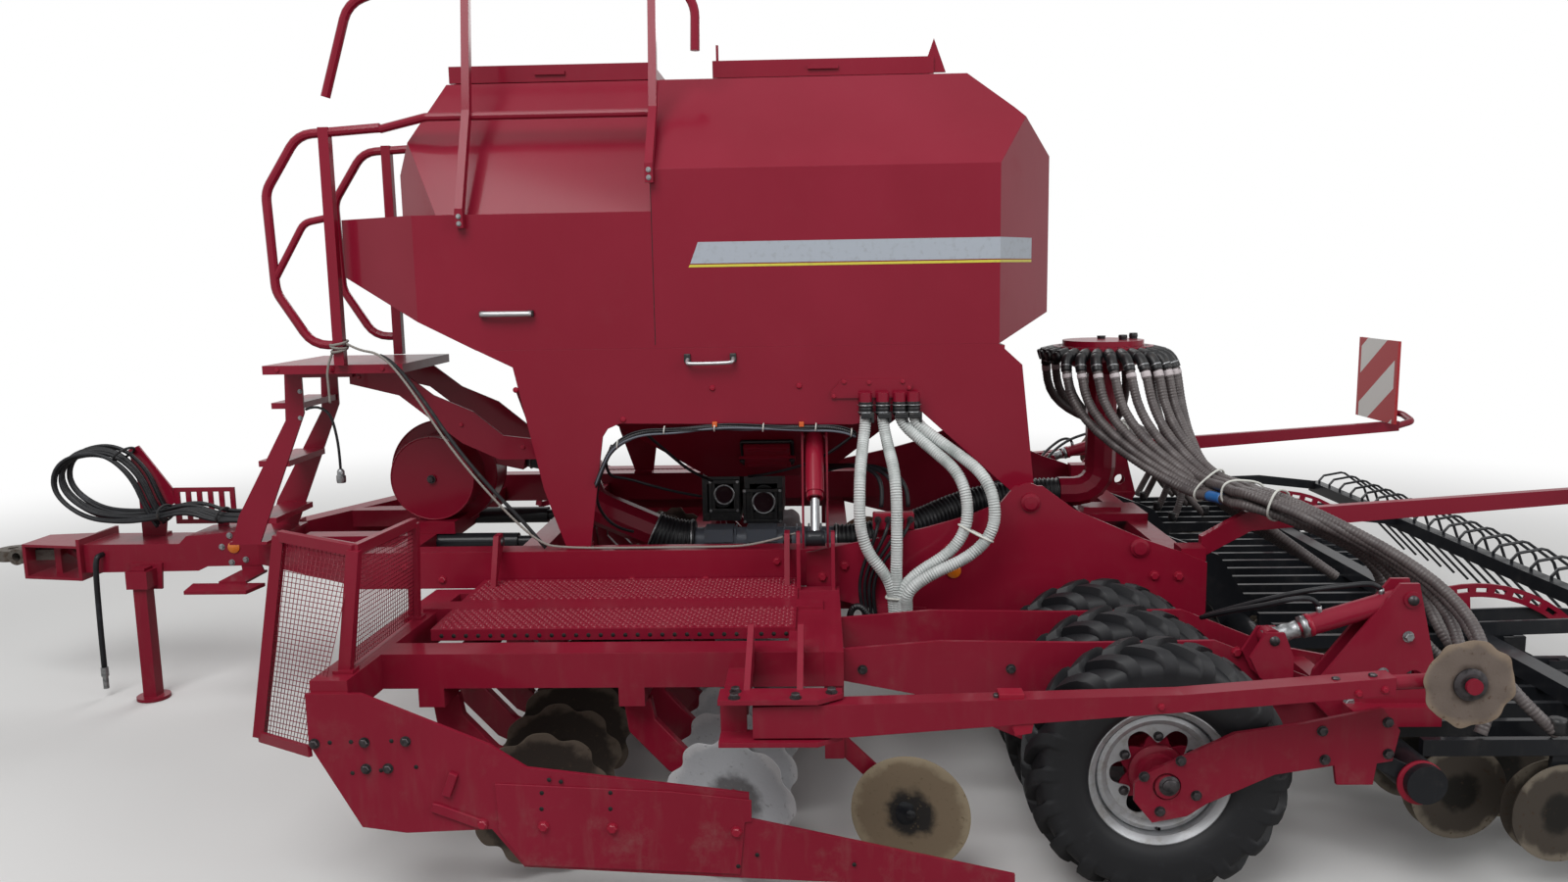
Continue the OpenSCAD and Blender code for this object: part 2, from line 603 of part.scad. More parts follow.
module tyre(y) {
  w = tyre_w / 2;
  r = tyre_d / 2;
  translate([0, y, axle_z]) rotate([90, 0, 0]) difference() {
    union() {
      rotate_extrude() polygon([[rim_d / 2 - 8, -w * 0.8], [r - 90, -w], [r - 38, -w * 0.85], [r - 26, 0],
          [r - 38, w * 0.85], [r - 90, w], [rim_d / 2 - 8, w * 0.8]]);
      for (h = [0, 1]) mirror([0, 0, h]) translate([0, 0, 4]) linear_extrude(w * 0.88)
          polygon(lug_ring(lug_count, r - 60, r, h / 2));
    }
    cylinder(h = 2 * w + 2, r = rim_d / 2, center = true);
  }
}

module rim(y) {
  translate([0, y, axle_z]) rotate([90, 0, 0]) difference() {
    rotate_extrude() polygon([[axle_d / 2 + seat, -60], [80, -60], [80, -20], [150, -20], [180, 40],
        [rim_d / 2 - 14, 40],
      [rim_d / 2 - 14, -72], [rim_d / 2, -72], [rim_d / 2, 72], [rim_d / 2 - 20, 72], [170, 60], [140, 0],
          [80, 0], [80, 30], [axle_d / 2 + seat, 30]]);
    for (k = [0:7]) rotate(k * 45) translate([112, 0, -30]) cylinder(h = 60, r = 24);
  }
}

module axle(y) {
  translate([0, y[1], axle_z]) rotate([90, 0, 0]) cylinder(h = y[1] - y[0], r = axle_d / 2);
}

centre_rows = [-2.5, -1.5, -0.5, 0.5, 1.5, 2.5];
// the wing's tyres spread evenly from the inner one to the side plate
inner_tyre_y = 3.5 * tyre_pitch;
wing_pitch = (outer_y - 165 - inner_tyre_y) / 2;
function wing_tyre_y(k) = inner_tyre_y + wing_pitch * k;
plate_y = [wing_tyre_y(0.5), wing_tyre_y(1.5)];

module centre_tyres() color(black) for (k = centre_rows) tyre(k * tyre_pitch);
module centre_rims() color(silver) {
  for (k = centre_rows) rim(k * tyre_pitch);
  axle([-arch_y - 5, arch_y + 5]);
}

// one dished and notched harrow disc with its hub
disc_notches = 9;
hub_pin_r = 14;
arm_in = 92;
arm_w = 36;
disc_plate = 5;
dish = 0.0009;
module harrow_blade(x, y, lean) {
  steps = [0, 0.4, 0.7, 1];
  r = disc_d / 2;
  translate([x, y, disc_z]) rotate([0, 8, lean]) rotate([90, 0, 0]) {
    difference() {
      rotate_extrude() polygon(concat([for (t = steps) [r * t, -dish * r * r * t * t]],
        [for (k = [len(steps) - 1:-1:0]) [r * steps[k], disc_plate - dish * r * r * steps[k] * steps[k]]]));
      for (k = [0:disc_notches - 1]) rotate(360 / disc_notches * k) translate([r + 6, 0, 0])
          cylinder(h = 120, r = 34, center = true);
    }
    translate([0, 0, 1]) cylinder(h = 52, r = 42);
    cylinder(h = (arm_in - arm_w / 2 - seat - hub_pin_r * sin(abs(lean))) / cos(lean), r = hub_pin_r);
  }
}

// sprung arm from a disc's hub up to its cross tube
module harrow_arm(x, y, top) {
  plate_xz([[x - 34, disc_z - 22], [x + 20, disc_z - 34], [x + 215, disc_z + 60], [x + 335, disc_z + 190],
      [x + 350, top], [x + 262, top],
    [x + 250, disc_z + 230], [x + 150, disc_z + 120], [x - 20, disc_z + 34]],
        [y - arm_w / 2, y + arm_w / 2]);
}

centre_disc_y = [for (k = [-4:3]) 155 + 245 * k];
disc_rows = [[1880, 18, 0], [1260, -18, 40]];
module centre_discs() color(steel) for (q = disc_rows) for (y = centre_disc_y) {
  harrow_blade(q[0], y + q[2] / 2, q[1]);
  harrow_arm(q[0], y + q[2] / 2 - arm_in, 590 - seat);
}

wing_disc_y = [1225, 1470, 1715];
module wing_discs() {
  for (q = disc_rows) for (y = wing_disc_y) {
    harrow_blade(q[0], y + q[2], q[1]);
    harrow_arm(q[0], y + q[2] - arm_in, wing_bottom - 60 - seat);
  }
  translate([720, 1760, 215]) rotate([0, 6, -12]) rotate([90, 0, 0])
      cylinder(h = 6, r = 185, center = true);
  disc_y([720, 1738, 215], 90, 54);
}

// parallel arms of a seed bar, for the seed rows between two Y values
function row_count(y) = floor((y[1] - y[0]) / row_pitch);
function row_y(y, k) = (y[0] + y[1]) / 2 + (k - (row_count(y) - 1) / 2) * row_pitch;
function row_x(k) = k % 2 == 0 ? -960 : -1180;
bar_z = 400;
press_axle_d = 24;
arm_t = 24;
arm_z = [bar_z + 34, bar_z + 84];
bar_x = -725;
bar_r = 57;
arm_x = bar_x - sqrt(bar_r * bar_r - 34 * 34) - seat;
module seed_bar(y) {
  n = row_count(y);
  // front tube, flat bar over the rows and the tube of the harrow
  rod([bar_x, y[0] + 5, bar_z], [bar_x, y[1] - 5, bar_z], 2 * bar_r);
  box([-1420, -1350], y, [arm_z[1] + seat, arm_z[1] + 56]);
  box([-2090, -2030], y, [490, 550]);
  for (k = [0:n - 1]) seed_row(row_x(k), row_y(y, k));
  // arms that carry the harrow
  for (c = [y[0] + 60, y[1] - 72]) plate_xz([[-1350, arm_z[1] + 56 + seat], [-1350, arm_z[1] + 106],
      [-1700, 600], [-2040, 560],
    [-2040, 550 + seat], [-2030 + seat, 550 + seat], [-2030 + seat, 510], [-1700, 548],
        [-1420, arm_z[1] + 56 + seat]], [c, c + 12]);
  m = floor((y[1] - y[0] - 60) / 140);
  for (k = [0:m]) tine((y[0] + y[1]) / 2 + 140 * (k - m / 2));
}

// arm of one seed row with its leg and the hanger of its press wheel
module seed_row(x, c) {
  box([-1640, arm_x], [c - arm_t / 2, c + arm_t / 2], arm_z);
  bar([x, c, bar_z + 50], [x + 10, c, seed_z - 20], 60, leg_w);
  difference() {
    plate_xz([[-1560, bar_z + 80], [-1640, bar_z + 80], [-1640, press_z], [-1600, press_z - 34],
        [-1560, press_z]], [c + 26, c + 32]);
    disc_y([-1600, c + 29, press_z], press_axle_d + 2 * gap, 20);
  }
  box([-1640, -1600], [c - arm_t / 2, c + 27], [bar_z + 36, bar_z + 82]);
}

module tine(y) {
  t = -rear_reach + 4.4;
  bent_tube([[-2060, y, 550 + seat], [-2060, y, 590], [-2200, y, 615], [-2330, y, 520], [-2400, y, 330],
      [t, y, 130]], 14, 30, 6, 1);
}

leg_w = 16;
module seed_discs(y) {
  for (k = [0:row_count(y) - 1]) for (s = [-1, 1]) {
    translate([row_x(k), row_y(y, k) + s * 20, seed_z]) rotate([0, 0, s * 4]) rotate([90, 0, 0])
        cylinder(h = 4, r = seed_disc_d / 2, center = true);
    disc_y([row_x(k) + 8, row_y(y, k) + s * (leg_w / 2 + seat + 6), seed_z + 4], 60, 12);
  }
}

module press_wheels(y) {
  n = row_count(y);
  for (k = [0:n - 1]) disc_y([-1600, row_y(y, k) - 10, press_z], press_d, 56);
  rod([-1600, row_y(y, 0) - 40, press_z], [-1600, row_y(y, n - 1) + 44, press_z], press_axle_d);
}

centre_span = [-965, 965];
wing_span = [985, outer_y];

module centre_seed_bar() color(dark) {
  seed_bar(centre_span);
  mirrored() plate_xz([[-420, 705], [-420, 785], [-640, 700], [-780, 480], [-760, 340], [-690, 340],
      [-620, 480]], [450, 480]);
}
module centre_seed_discs() color(steel) seed_discs(centre_span);
module centre_press_wheels() color(black) press_wheels(centre_span);

module wing_frame() {
  t = wing_top;
  b = wing_bottom;
  // inner and outer long tubes, front bar and rear bar
  box([rear_bar_x, front_bar_x + 60], [wing_in, wing_in + 60], [b, t]);
  box([rear_bar_x + 60, front_bar_x + 60], [outer_tube_y, outer_tube_y + tube], [b, t]);
  plate_xy([[front_bar_x, wing_in], [front_bar_x + tube, wing_in], [front_bar_x + tube + 50, outer_y],
      [front_bar_x + 50, outer_y]], [b, t]);
  box([rear_bar_x, rear_bar_x + 170], [wing_in + 1, outer_tube_y + tube - 1], [b + 1, t - 1]);
  // treads
  for (y = [[rail_out + 15, wing_in + 200], [wing_in + 296, wing_in + 529]]) {
    box([rear_bar_x + 150, front_bar_x - 45], y, [t + 2, t + 12]);
    for (q = y - [0, 6]) box([rear_bar_x + 150, front_bar_x - 45], [q, q + 6], [t - 26, t + 11]);
    for (x = [rear_bar_x + 300, front_bar_x - 180]) box([x, x + 60],
        [y[0] > wing_in ? y[0] - 6 : wing_in + 10, y[0] > wing_in ? y[1] - 2 : y[1] + 4], [t - 1, t + 3]);
  }
  box([rear_bar_x + 60, front_bar_x + 60], [wing_in + 202, wing_in + 294], [b + 20, t + 12]);
  // side plates
  plate_xz([[2470, 695], [2310, 695], [1946, 540], [1840, 470], [1200, 390], [1200, 312], [437, 140],
      [437, 92], [1235, 132], [1860, 166], [1950, 283], [2200, 272], [2330, 290], [2470, 545]],
    [outer_y, outer_y + side_t]);
  // plates that carry the packer axle
  for (y = plate_y) difference() {
    plate_xz([[1000, b], [1000, 700], [620, 730], [180, 722], [-225, 726], [-533, 600], [-735, 560],
        [-800, 495], [-650, 470], [-200, 320], [160, 320], [700, 560]], [y - 7, y + 7]);
    disc_y([0, y, axle_z], axle_d + 2 * gap, 60);
  }
  // hub arm outside the last tyre
  difference() {
    plate_xz([[57, 430], [92, 400], [92, 345], [39, 280], [-60, 300], [-113, 336], [-304, 425],
        [-471, 452], [-480, 394], [-582, 394], [-590, 458], [-633, 465], [-650, 556], [-597, 623],
        [-380, 577], [-188, 549]],
      [outer_y - 40, outer_y - 26]);
    disc_y([0, outer_y - 30, axle_z], axle_d + 2 * gap, 60);
  }
  box([-640, -580], [plate_y[0], outer_y - 30], [500, 560]);
  // bracket of the seed bar's ram, the ram and its clevis
  for (y = [ram_y - 36, ram_y + 24]) difference() {
    plate_xz([[-500, 560], [-518, 640], [-735, 925], [-790, 925], [-845, 690], [-885, 540], [-860, 495],
        [-560, 495]], [y, y + 12]);
    disc_y([-789, y + 6, 628], 60, 40);
  }
  box([-860, -620], [ram_y - 66, ram_y + 74], [495, 555]);
  rod([-470, ram_y, 784], [-745, ram_y, 868], 64);
  rod([-380, ram_y, 756], [-480, ram_y, 787], 34);
  disc_y([-370, ram_y, 753], 60, 46);
  disc_y([-770, ram_y, 876], 50, 84);
  for (y = [ram_y - 40, ram_y + 28]) plate_xz([[-330, 640], [-300, 700], [-345, 777], [-400, 777],
      [-430, 700], [-430, 600], [-380, 600]], [y, y + 12]);
  rod([-370, ram_y - 36, 753], [-370, ram_y + 38, 753], 24);
  box([-430, -370], [ram_y - 40, plate_y[1]], [600, 650]);
  // cross tubes that carry the arms of the harrow discs
  for (q = disc_rows) {
    box([q[0] + 270, q[0] + 350], [wing_in, outer_tube_y + tube], [b - 60, b + 1]);
  }
  // bracket of the plain disc at the edge
  bar([720, 1701 - seat, 215], [rear_bar_x + 20, 1701 - seat, 430], 50, 20);
  box([rear_bar_x, rear_bar_x + 60], [1670, 1730], [380, b + 2]);
  // hinge lugs
  for (x = [1100, 2180]) plate_yz([[wing_in + 40, b + 30], [wing_in + 40, t - 1],
      [hinge_y + 40, hinge_z + 30], [hinge_y - 20, hinge_z + 30],
    [hinge_y - 20, hinge_z - 15], [wing_in - 5, hinge_z - 120], [wing_in - 5, b + 30]], [x, x + 20]);
  // brackets and lugs of the fold cylinder, open above
  for (x = [935, 1060]) plate_yz([[wing_in + 1, t - 40], [wing_in + 55, t - 2], [1060, 900], [1045, 940],
      [1015, 940], [1000, 900], [wing_in + 1, t - 2]], [x, x + 14]);
  // marker bracket
  for (x = [1040, 1190]) plate_yz([[outer_tube_y + tube - 20, t - 2], [outer_tube_y + tube - 10, 820],
      [outer_tube_y + tube + 10, 820], [outer_y + 30, 706], [outer_y + 30, 692],
      [outer_tube_y + tube, 692]],
    [x, x + 18]);
  plate_xy([[1275, outer_y + 14], [1275, outer_y + 110], [1000, outer_y + 110], [930, outer_y + 60],
      [930, outer_y + 14]], [692, 706]);
  plate_xy([[1275, outer_y + 14], [1275, outer_y + 110], [1000, outer_y + 110], [930, outer_y + 60],
      [930, outer_y + 14]], [570, 584]);
  box([1200, 1275], [outer_y + 14, outer_y + 30], [575, 700]);
  box([1196, 1270], [outer_tube_y + tube - 1, outer_y + 20], [b + 10, b + 60]);
}

// mesh guard: corner posts and rails of its frame, and the thin mesh panels
guard_a = [[2604, 1790, 1115], [2716, 1790, 485]];
guard_b = [[2335, 1900, 1095], [2385, 1900, wing_top + 6]];
guard_c = [[2350, 1370, 1060], [2365, 1370, wing_top + 6]];
module guard() {
  bar(guard_a[0], guard_a[1], 34, 26);
  bar(guard_b[0], guard_b[1], 36, 30);
  bar(guard_c[0], guard_c[1], 34, 26);
  bar(guard_a[0], guard_b[0], 32, 22);
  bar(guard_b[0], guard_c[0], 32, 22);
  bar(guard_a[1], [2470 + seat, outer_y + 6, 520], 32, 12);
  for (p = [guard_b[1], guard_c[1]]) box([p[0] - 30, p[0] + 30], [p[1] - 25, p[1] + 25],
      [wing_top, wing_top + 9]);
}

marker_y = outer_y + 62;
marker_z = 635;
spindle_d = 20;
module marker_arm() {
  plate_xz([[1180, marker_z - 45], [1180, marker_z + 45], [0, marker_z + 75], [-570, marker_z + 120],
      [-570, marker_z + 70], [0, marker_z + 25], [940, marker_z - 45]],
    [marker_y - 32, marker_y + 32]);
  rod([-560, marker_y, marker_z + 95], [-785, marker_y, marker_z + 106], 42);
  rod([-760, marker_y, marker_z + 105], [-760, marker_y + 66, marker_z + 105], spindle_d);
  disc_y([-760, marker_y + 63, marker_z + 105], 44, 10);
}

module marker_disc() {
  difference() {
    union() {
      disc_y([-760, marker_y + 40, marker_z + 105], 250, 6);
      disc_y([-760, marker_y + 40, marker_z + 105], 90, 26);
    }
    disc_y([-760, marker_y + 40, marker_z + 105], spindle_d + 2 * gap, 60);
  }
}

barrel_top = [1005, hop_half - 90, 1250];
rod_pin = [1005, 1030, 915];
barrel_d = 70;
fold_rod_d = 34;
module fold_barrel() {
  difference() {
    union() {
      rod(along(barrel_top, rod_pin, -0.04), along(barrel_top, rod_pin, 0.57), barrel_d);
      rod(along(barrel_top, rod_pin, 0.56), along(barrel_top, rod_pin, 0.62), barrel_d - 8);
    }
    rod(along(barrel_top, rod_pin, 0.04), along(barrel_top, rod_pin, 0.7), fold_rod_d + 2 * gap);
  }
}

module fold_rod() {
  rod(along(barrel_top, rod_pin, 0.37), rod_pin, fold_rod_d);
  translate(rod_pin - [35, 0, 0]) rotate([0, 90, 0]) cylinder(h = 70, r = 28);
}

module wing_hoses() {
  n = row_count(wing_span);
  for (k = [0:6]) sweep(concat([bundle + offset(k) + [0, seat - 1, 0]],
      curve([bundle + offset(k) + [0, 20, 0], bundle + offset(k) + [-20, 110, 20],
    [-960 - 10 * k, 1150 + 60 * k, 860], [-1000, row_y(wing_span, min(k, n - 1)) - 20, 640],
        [row_x(k) + 20, row_y(wing_span, min(k, n - 1)), 498]], 2)), 38, 6);
}

module right() mirror([0, 1, 0]) children();
module wing_rims() {
  for (k = [0:2]) rim(wing_tyre_y(k));
  axle([inner_tyre_y - tyre_w / 2 - 25, outer_y - 20]);
}

module left_wing_frame() color(red) wing_frame();
module right_wing_frame() color(red) right() wing_frame();
module left_guard() color(red) guard();
module right_guard() color(red) right() guard();
module left_discs() color(steel) wing_discs();
module right_discs() color(steel) right() wing_discs();
module left_seed_bar() color(dark) seed_bar(wing_span);
module right_seed_bar() color(dark) right() seed_bar(wing_span);
module left_seed_discs() color(steel) seed_discs(wing_span);
module right_seed_discs() color(steel) right() seed_discs(wing_span);
module left_press_wheels() color(black) press_wheels(wing_span);
module right_press_wheels() color(black) right() press_wheels(wing_span);
module left_tyres() color(black) for (k = [0:2]) tyre(wing_tyre_y(k));
module right_tyres() color(black) right() for (k = [0:2]) tyre(wing_tyre_y(k));
module left_rims() color(silver) wing_rims();
module right_rims() color(silver) right() wing_rims();
module left_marker_arm() color(red) marker_arm();
module right_marker_arm() color(red) right() marker_arm();
module left_marker_disc() color(steel) marker_disc();
module right_marker_disc() color(steel) right() marker_disc();
module left_fold_barrel() color(black) fold_barrel();
module right_fold_barrel() color(black) right() fold_barrel();
module left_fold_rod() color(steel) fold_rod();
module right_fold_rod() color(steel) right() fold_rod();
module left_wing_hoses() color(hose_grey) wing_hoses();
module right_wing_hoses() color(hose_grey) right() wing_hoses();

// moves the drill so that its bounding box is centred on the origin
module place() translate([centre_x, 0, 0]) children();

place() tow_eye();
place() drawbar();
place() front_rams();
place() main_frame();
place() disc_tubes();
place() fold_brackets();
place() hose_holder();
place() hydraulic_hoses();
place() hanging_hose();
place() hose_coupling();
place() jack_leg();
place() ladder();
place() platform();
place() hand_rails();
place() hopper();
place() hopper_legs();
place() front_lid();
place() rear_lid();
place() meter_units();
place() fan();
place() air_pipe();
place() air_hoses();
place() injector_pipe();
place() white_hoses();
place() distributor();
place() seed_hoses();
place() board_arms();
place() warning_boards();
place() centre_discs();
place() centre_tyres();
place() centre_rims();
place() centre_seed_bar();
place() centre_seed_discs();
place() centre_press_wheels();
place() left_wing_frame();
place() left_guard();
place() left_discs();
place() left_seed_bar();
place() left_seed_discs();
place() left_press_wheels();
place() left_tyres();
place() left_rims();
place() left_marker_arm();
place() left_marker_disc();
place() left_fold_barrel();
place() left_fold_rod();
place() left_wing_hoses();
place() right_wing_frame();
place() right_guard();
place() right_discs();
place() right_seed_bar();
place() right_seed_discs();
place() right_press_wheels();
place() right_tyres();
place() right_rims();
place() right_marker_arm();
place() right_marker_disc();
place() right_fold_barrel();
place() right_fold_rod();
place() right_wing_hoses();
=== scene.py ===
"""Seed drill with folding wings: finishes, tyres, hoses, treads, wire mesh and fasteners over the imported
frame."""
import math

import bpy
import numpy as np
from mathutils import Matrix, Vector


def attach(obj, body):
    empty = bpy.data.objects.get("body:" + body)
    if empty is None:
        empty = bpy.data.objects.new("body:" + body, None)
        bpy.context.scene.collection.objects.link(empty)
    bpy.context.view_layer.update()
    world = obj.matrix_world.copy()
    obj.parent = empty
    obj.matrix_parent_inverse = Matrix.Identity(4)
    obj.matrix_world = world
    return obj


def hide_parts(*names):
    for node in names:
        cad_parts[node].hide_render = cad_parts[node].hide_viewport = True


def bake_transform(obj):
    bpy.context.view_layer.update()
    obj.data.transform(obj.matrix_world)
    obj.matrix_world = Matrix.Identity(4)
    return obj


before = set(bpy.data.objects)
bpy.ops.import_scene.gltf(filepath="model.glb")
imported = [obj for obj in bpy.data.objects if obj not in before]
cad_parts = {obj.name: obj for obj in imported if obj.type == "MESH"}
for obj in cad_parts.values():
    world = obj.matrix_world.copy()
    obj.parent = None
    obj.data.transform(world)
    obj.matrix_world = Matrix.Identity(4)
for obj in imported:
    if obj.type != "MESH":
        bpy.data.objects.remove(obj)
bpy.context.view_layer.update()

mm = 0.001

# Driving sizes in millimetres, measured from the packer axle, +X towards the tractor, +Y left, +Z up.
front_reach, rear_reach = 4800, 2600
axle_shift = -(front_reach - rear_reach) / 2
half_work = 2000
outer_y = half_work - 20
tyre_d, tyre_pitch = 780, 330
hop_half, hop_z1 = 850, 2250
step_x, step_z = 1590, 2100
wing_top = 730
arch_y, rail_top = 985, 845
ram_y = outer_y - 274
plate_y = [1320, 1650]
marker_y, marker_z = outer_y + 62, 635
disc_z, disc_d, dish = 260, 430, 0.0009
blade_lift, notch_radius, notch_out = 8, 34, 6
seat = 0.3
edge_radius = 2.2
bundle_slack = 2


def place(points):
    """Millimetres from the packer axle to metres in the row frame."""
    return (np.asarray(points, float) + (axle_shift, 0, 0)) * mm


def photo_camera():
    """Camera of the photograph: stands 5.1 m to the left of the centre plane, a little behind the hopper,
    and looks slightly down."""
    pitch, yaw, roll = math.radians(8.238), math.radians(1.805), math.radians(0.954)
    forward = Vector((math.sin(yaw) * math.cos(pitch), -math.cos(yaw) * math.cos(pitch),
                      -math.sin(pitch)))
    level = Vector((-math.cos(yaw), -math.sin(yaw), 0))
    right = level * math.cos(roll) - level.cross(forward) * math.sin(roll)
    up = right.cross(forward)
    turn = Matrix((right, up, -forward)).transposed()
    data = bpy.data.cameras.new("photo_camera")
    data.sensor_width = 36
    data.lens = 26.47
    camera = bpy.data.objects.new("photo_camera", data)
    bpy.context.collection.objects.link(camera)
    camera.matrix_world = Matrix.Translation(Vector(place((984, 5119, 1865)))) @ turn.to_4x4()
    bpy.context.scene.camera = camera


photo_camera()


# Meshes from arrays

def new_object(name, vertices, faces, material, uv=None, smooth=True):
    """Object at the origin from arrays of points in metres and of faces; uv holds one pair for each
    vertex."""
    mesh = bpy.data.meshes.new(name)
    mesh.from_pydata(vertices.tolist(), [], faces.tolist() if hasattr(faces, "tolist") else faces)
    mesh.validate()
    if uv is not None:
        corner = np.zeros(len(mesh.loops), int)
        mesh.loops.foreach_get("vertex_index", corner)
        mesh.uv_layers.new(name="UVMap").data.foreach_set("uv", uv[corner].ravel())
    mesh.materials.append(material)
    mesh.polygons.foreach_set("use_smooth", [smooth] * len(mesh.polygons))
    mesh.update()
    made = bpy.data.objects.new(name, mesh)
    bpy.context.collection.objects.link(made)
    return made


def quads(rows, columns, close_rows=False, close_columns=False):
    """Faces of a grid of rows x columns points, numbered row by row."""
    i = np.arange(rows if close_rows else rows - 1)[:, None]
    j = np.arange(columns if close_columns else columns - 1)[None, :]
    next_i, next_j = (i + 1) % rows, (j + 1) % columns
    corners = [i * columns + j, next_i * columns + j, next_i * columns + next_j, i * columns + next_j]
    return np.stack([np.broadcast_to(c, (len(i), j.shape[1])) for c in corners], -1).reshape(-1, 4)


def merge(parts):
    """One list of vertices, faces and texture places from several (vertices, faces, uv)."""
    start = np.cumsum([0] + [len(p[0]) for p in parts])
    vertices = np.concatenate([p[0] for p in parts])
    faces = [[int(k) + int(s) for k in f] for p, s in zip(parts, start) for f in p[1]]
    uv = np.concatenate([p[2] for p in parts]) if all(len(p) > 2 for p in parts) else None
    return vertices, faces, uv


def unit(v):
    """Vectors of length one along the last axis."""
    return v / np.linalg.norm(v, axis=-1, keepdims=True)


def bent_route(points, steps=8):
    """Smooth route: each corner is rounded by a parabola between the middles of its two legs."""
    p = np.asarray(points, float)
    t = np.linspace(0, 1, steps + 1)[:, None]
    pieces = [p[:1]]
    for i in range(1, len(p) - 1):
        a = p[0] if i == 1 else (p[i - 1] + p[i]) / 2
        b = p[-1] if i == len(p) - 2 else (p[i] + p[i + 1]) / 2
        pieces.append((a * (1 - t) ** 2 + p[i] * 2 * t * (1 - t) + b * t ** 2)[1:])
    return np.concatenate(pieces) if len(p) > 2 else p


def resample(path, step):
    """Points at even distances of about step along a route."""
    far = np.concatenate([[0], np.cumsum(np.linalg.norm(np.diff(path, axis=0), axis=1))])
    at = np.linspace(0, far[-1], max(2, int(round(far[-1] / step)) + 1))
    return np.stack([np.interp(at, far, path[:, k]) for k in range(3)], 1), at


def frames(path):
    """Tangent and two cross directions at each point, carried along the route without twist."""
    tangent = unit(np.gradient(path, axis=0))
    side = np.zeros_like(tangent)
    start = np.eye(3)[np.argmin(np.abs(tangent[0]))]
    side[0] = unit(np.cross(tangent[0], start))
    for i in range(1, len(path)):
        side[i] = unit(side[i - 1] - tangent[i] * np.dot(side[i - 1], tangent[i]))
    return tangent, side, np.cross(tangent, side)


def tube_arrays(path, radius, sides=10):
    """Round tube: the circle cos, sin times the radius at each point of the route, with closed ends. uv
    is (turn, distance)."""
    _, side, up = frames(path)
    turn = np.linspace(0, 2 * np.pi, sides, endpoint=False)
    r = np.broadcast_to(np.asarray(radius, float).reshape(-1, 1, 1), (len(path), 1, 1))
    ring = side[:, None] * np.cos(turn)[None, :, None] + up[:, None] * np.sin(turn)[None, :, None]
    points = (path[:, None] + ring * r).reshape(-1, 3)
    far = np.concatenate([[0], np.cumsum(np.linalg.norm(np.diff(path, axis=0), axis=1))])
    uv = np.stack(np.broadcast_arrays(turn[None, :] / (2 * np.pi), far[:, None]), -1).reshape(-1, 2)
    faces = quads(len(path), sides, close_columns=True)[:, ::-1].tolist()
    faces.append(list(range(sides))[::-1])
    faces.append(list(range(len(points) - sides, len(points))))
    return points, faces, uv


def ribbed(length_at, radius, pitch, depth):
    """Radius of a ribbed hose: a raised rib each pitch, of the given depth."""
    return radius - depth * (0.5 - 0.5 * np.cos(2 * np.pi * length_at / pitch))


def tubes(name, routes, radius, material, body, sides=10, step=15, rib=None):
    """Several tubes of one radius as one piece; rib is (pitch, depth) in millimetres."""
    made = []
    for route in routes:
        path, at = resample(np.asarray(route, float), step if rib is None else rib[0] / 4)
        made.append(tube_arrays(place(path), (radius if rib is None else ribbed(at, radius, *rib)) * mm,
                                sides))
    vertices, faces, uv = merge(made)
    piece = new_object(name, vertices, faces, material, uv)
    if body:
        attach(piece, body)
    return piece


def repeat_arrays(vertices, faces, spots, axes):
    """Copies of a small mesh, drawn with its axis along +Z, at the given spots and turned to the given
    axes."""
    spots, axes = np.asarray(spots, float), unit(np.asarray(axes, float))
    reference = np.where(np.abs(axes[:, 2:]) > 0.9, [[1.0, 0, 0]], [[0, 0, 1.0]])
    x = unit(np.cross(reference, axes))
    y = np.cross(axes, x)
    turn = np.stack([x, y, axes], 1)
    points = np.einsum("vk,nkc->nvc", vertices, turn) + spots[:, None]
    ids = np.asarray(faces)[None] + (np.arange(len(spots)) * len(vertices))[:, None, None]
    return points.reshape(-1, 3), ids.reshape(-1, ids.shape[-1])


def turned_arrays(outline, sides=24):
    """Solid of revolution about Z from (radius, height) pairs that start and end on the axis."""
    o = np.asarray(outline, float)
    turn = np.linspace(0, 2 * np.pi, sides, endpoint=False)
    r = np.maximum(o[:, 0], 1e-4)
    points = np.stack([r[:, None] * np.cos(turn), r[:, None] * np.sin(turn),
                       np.broadcast_to(o[:, 1:2], (len(o), sides))], -1)
    return points.reshape(-1, 3), quads(len(o), sides, close_columns=True)[:, ::-1]


def bolt_heads(name, spots, axes, material, body, across=19, height=10):
    """Hexagon heads with a chamfered top and a washer, all in one piece."""
    r = across / math.sqrt(3)
    washer = turned_arrays([(0, 0), (r * 1.25, 0), (r * 1.25, 2.5), (0, 2.5)], 12)
    head = turned_arrays([(0, 2), (r, 2), (r, height * 0.8), (r * 0.82, height), (0, height)], 6)
    parts = [repeat_arrays(v, f, spots, axes) for v, f in (washer, head)]
    vertices, faces, _ = merge(parts)
    piece = new_object(name, place(vertices), faces, material, smooth=False)
    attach(piece, body)
    return piece


def boxes(name, ranges, material, body, bevel=1.5):
    """Small blocks given by their ranges along X, Y and Z, as one bevelled piece."""
    r = np.asarray(ranges, float)
    pick = np.array([[i, j, k] for i in (0, 1) for j in (0, 1) for k in (0, 1)])
    points = np.stack([r[:, axis][:, pick[:, axis]] for axis in range(3)], -1)
    face = np.array([[0, 1, 3, 2], [4, 6, 7, 5], [0, 4, 5, 1], [2, 3, 7, 6], [0, 2, 6, 4], [1, 5, 7, 3]])
    faces = face[None] + (np.arange(len(r)) * 8)[:, None, None]
    piece = new_object(name, place(points.reshape(-1, 3)), faces.reshape(-1, 4), material, smooth=False)
    add_bevel(piece, bevel)
    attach(piece, body)
    return piece


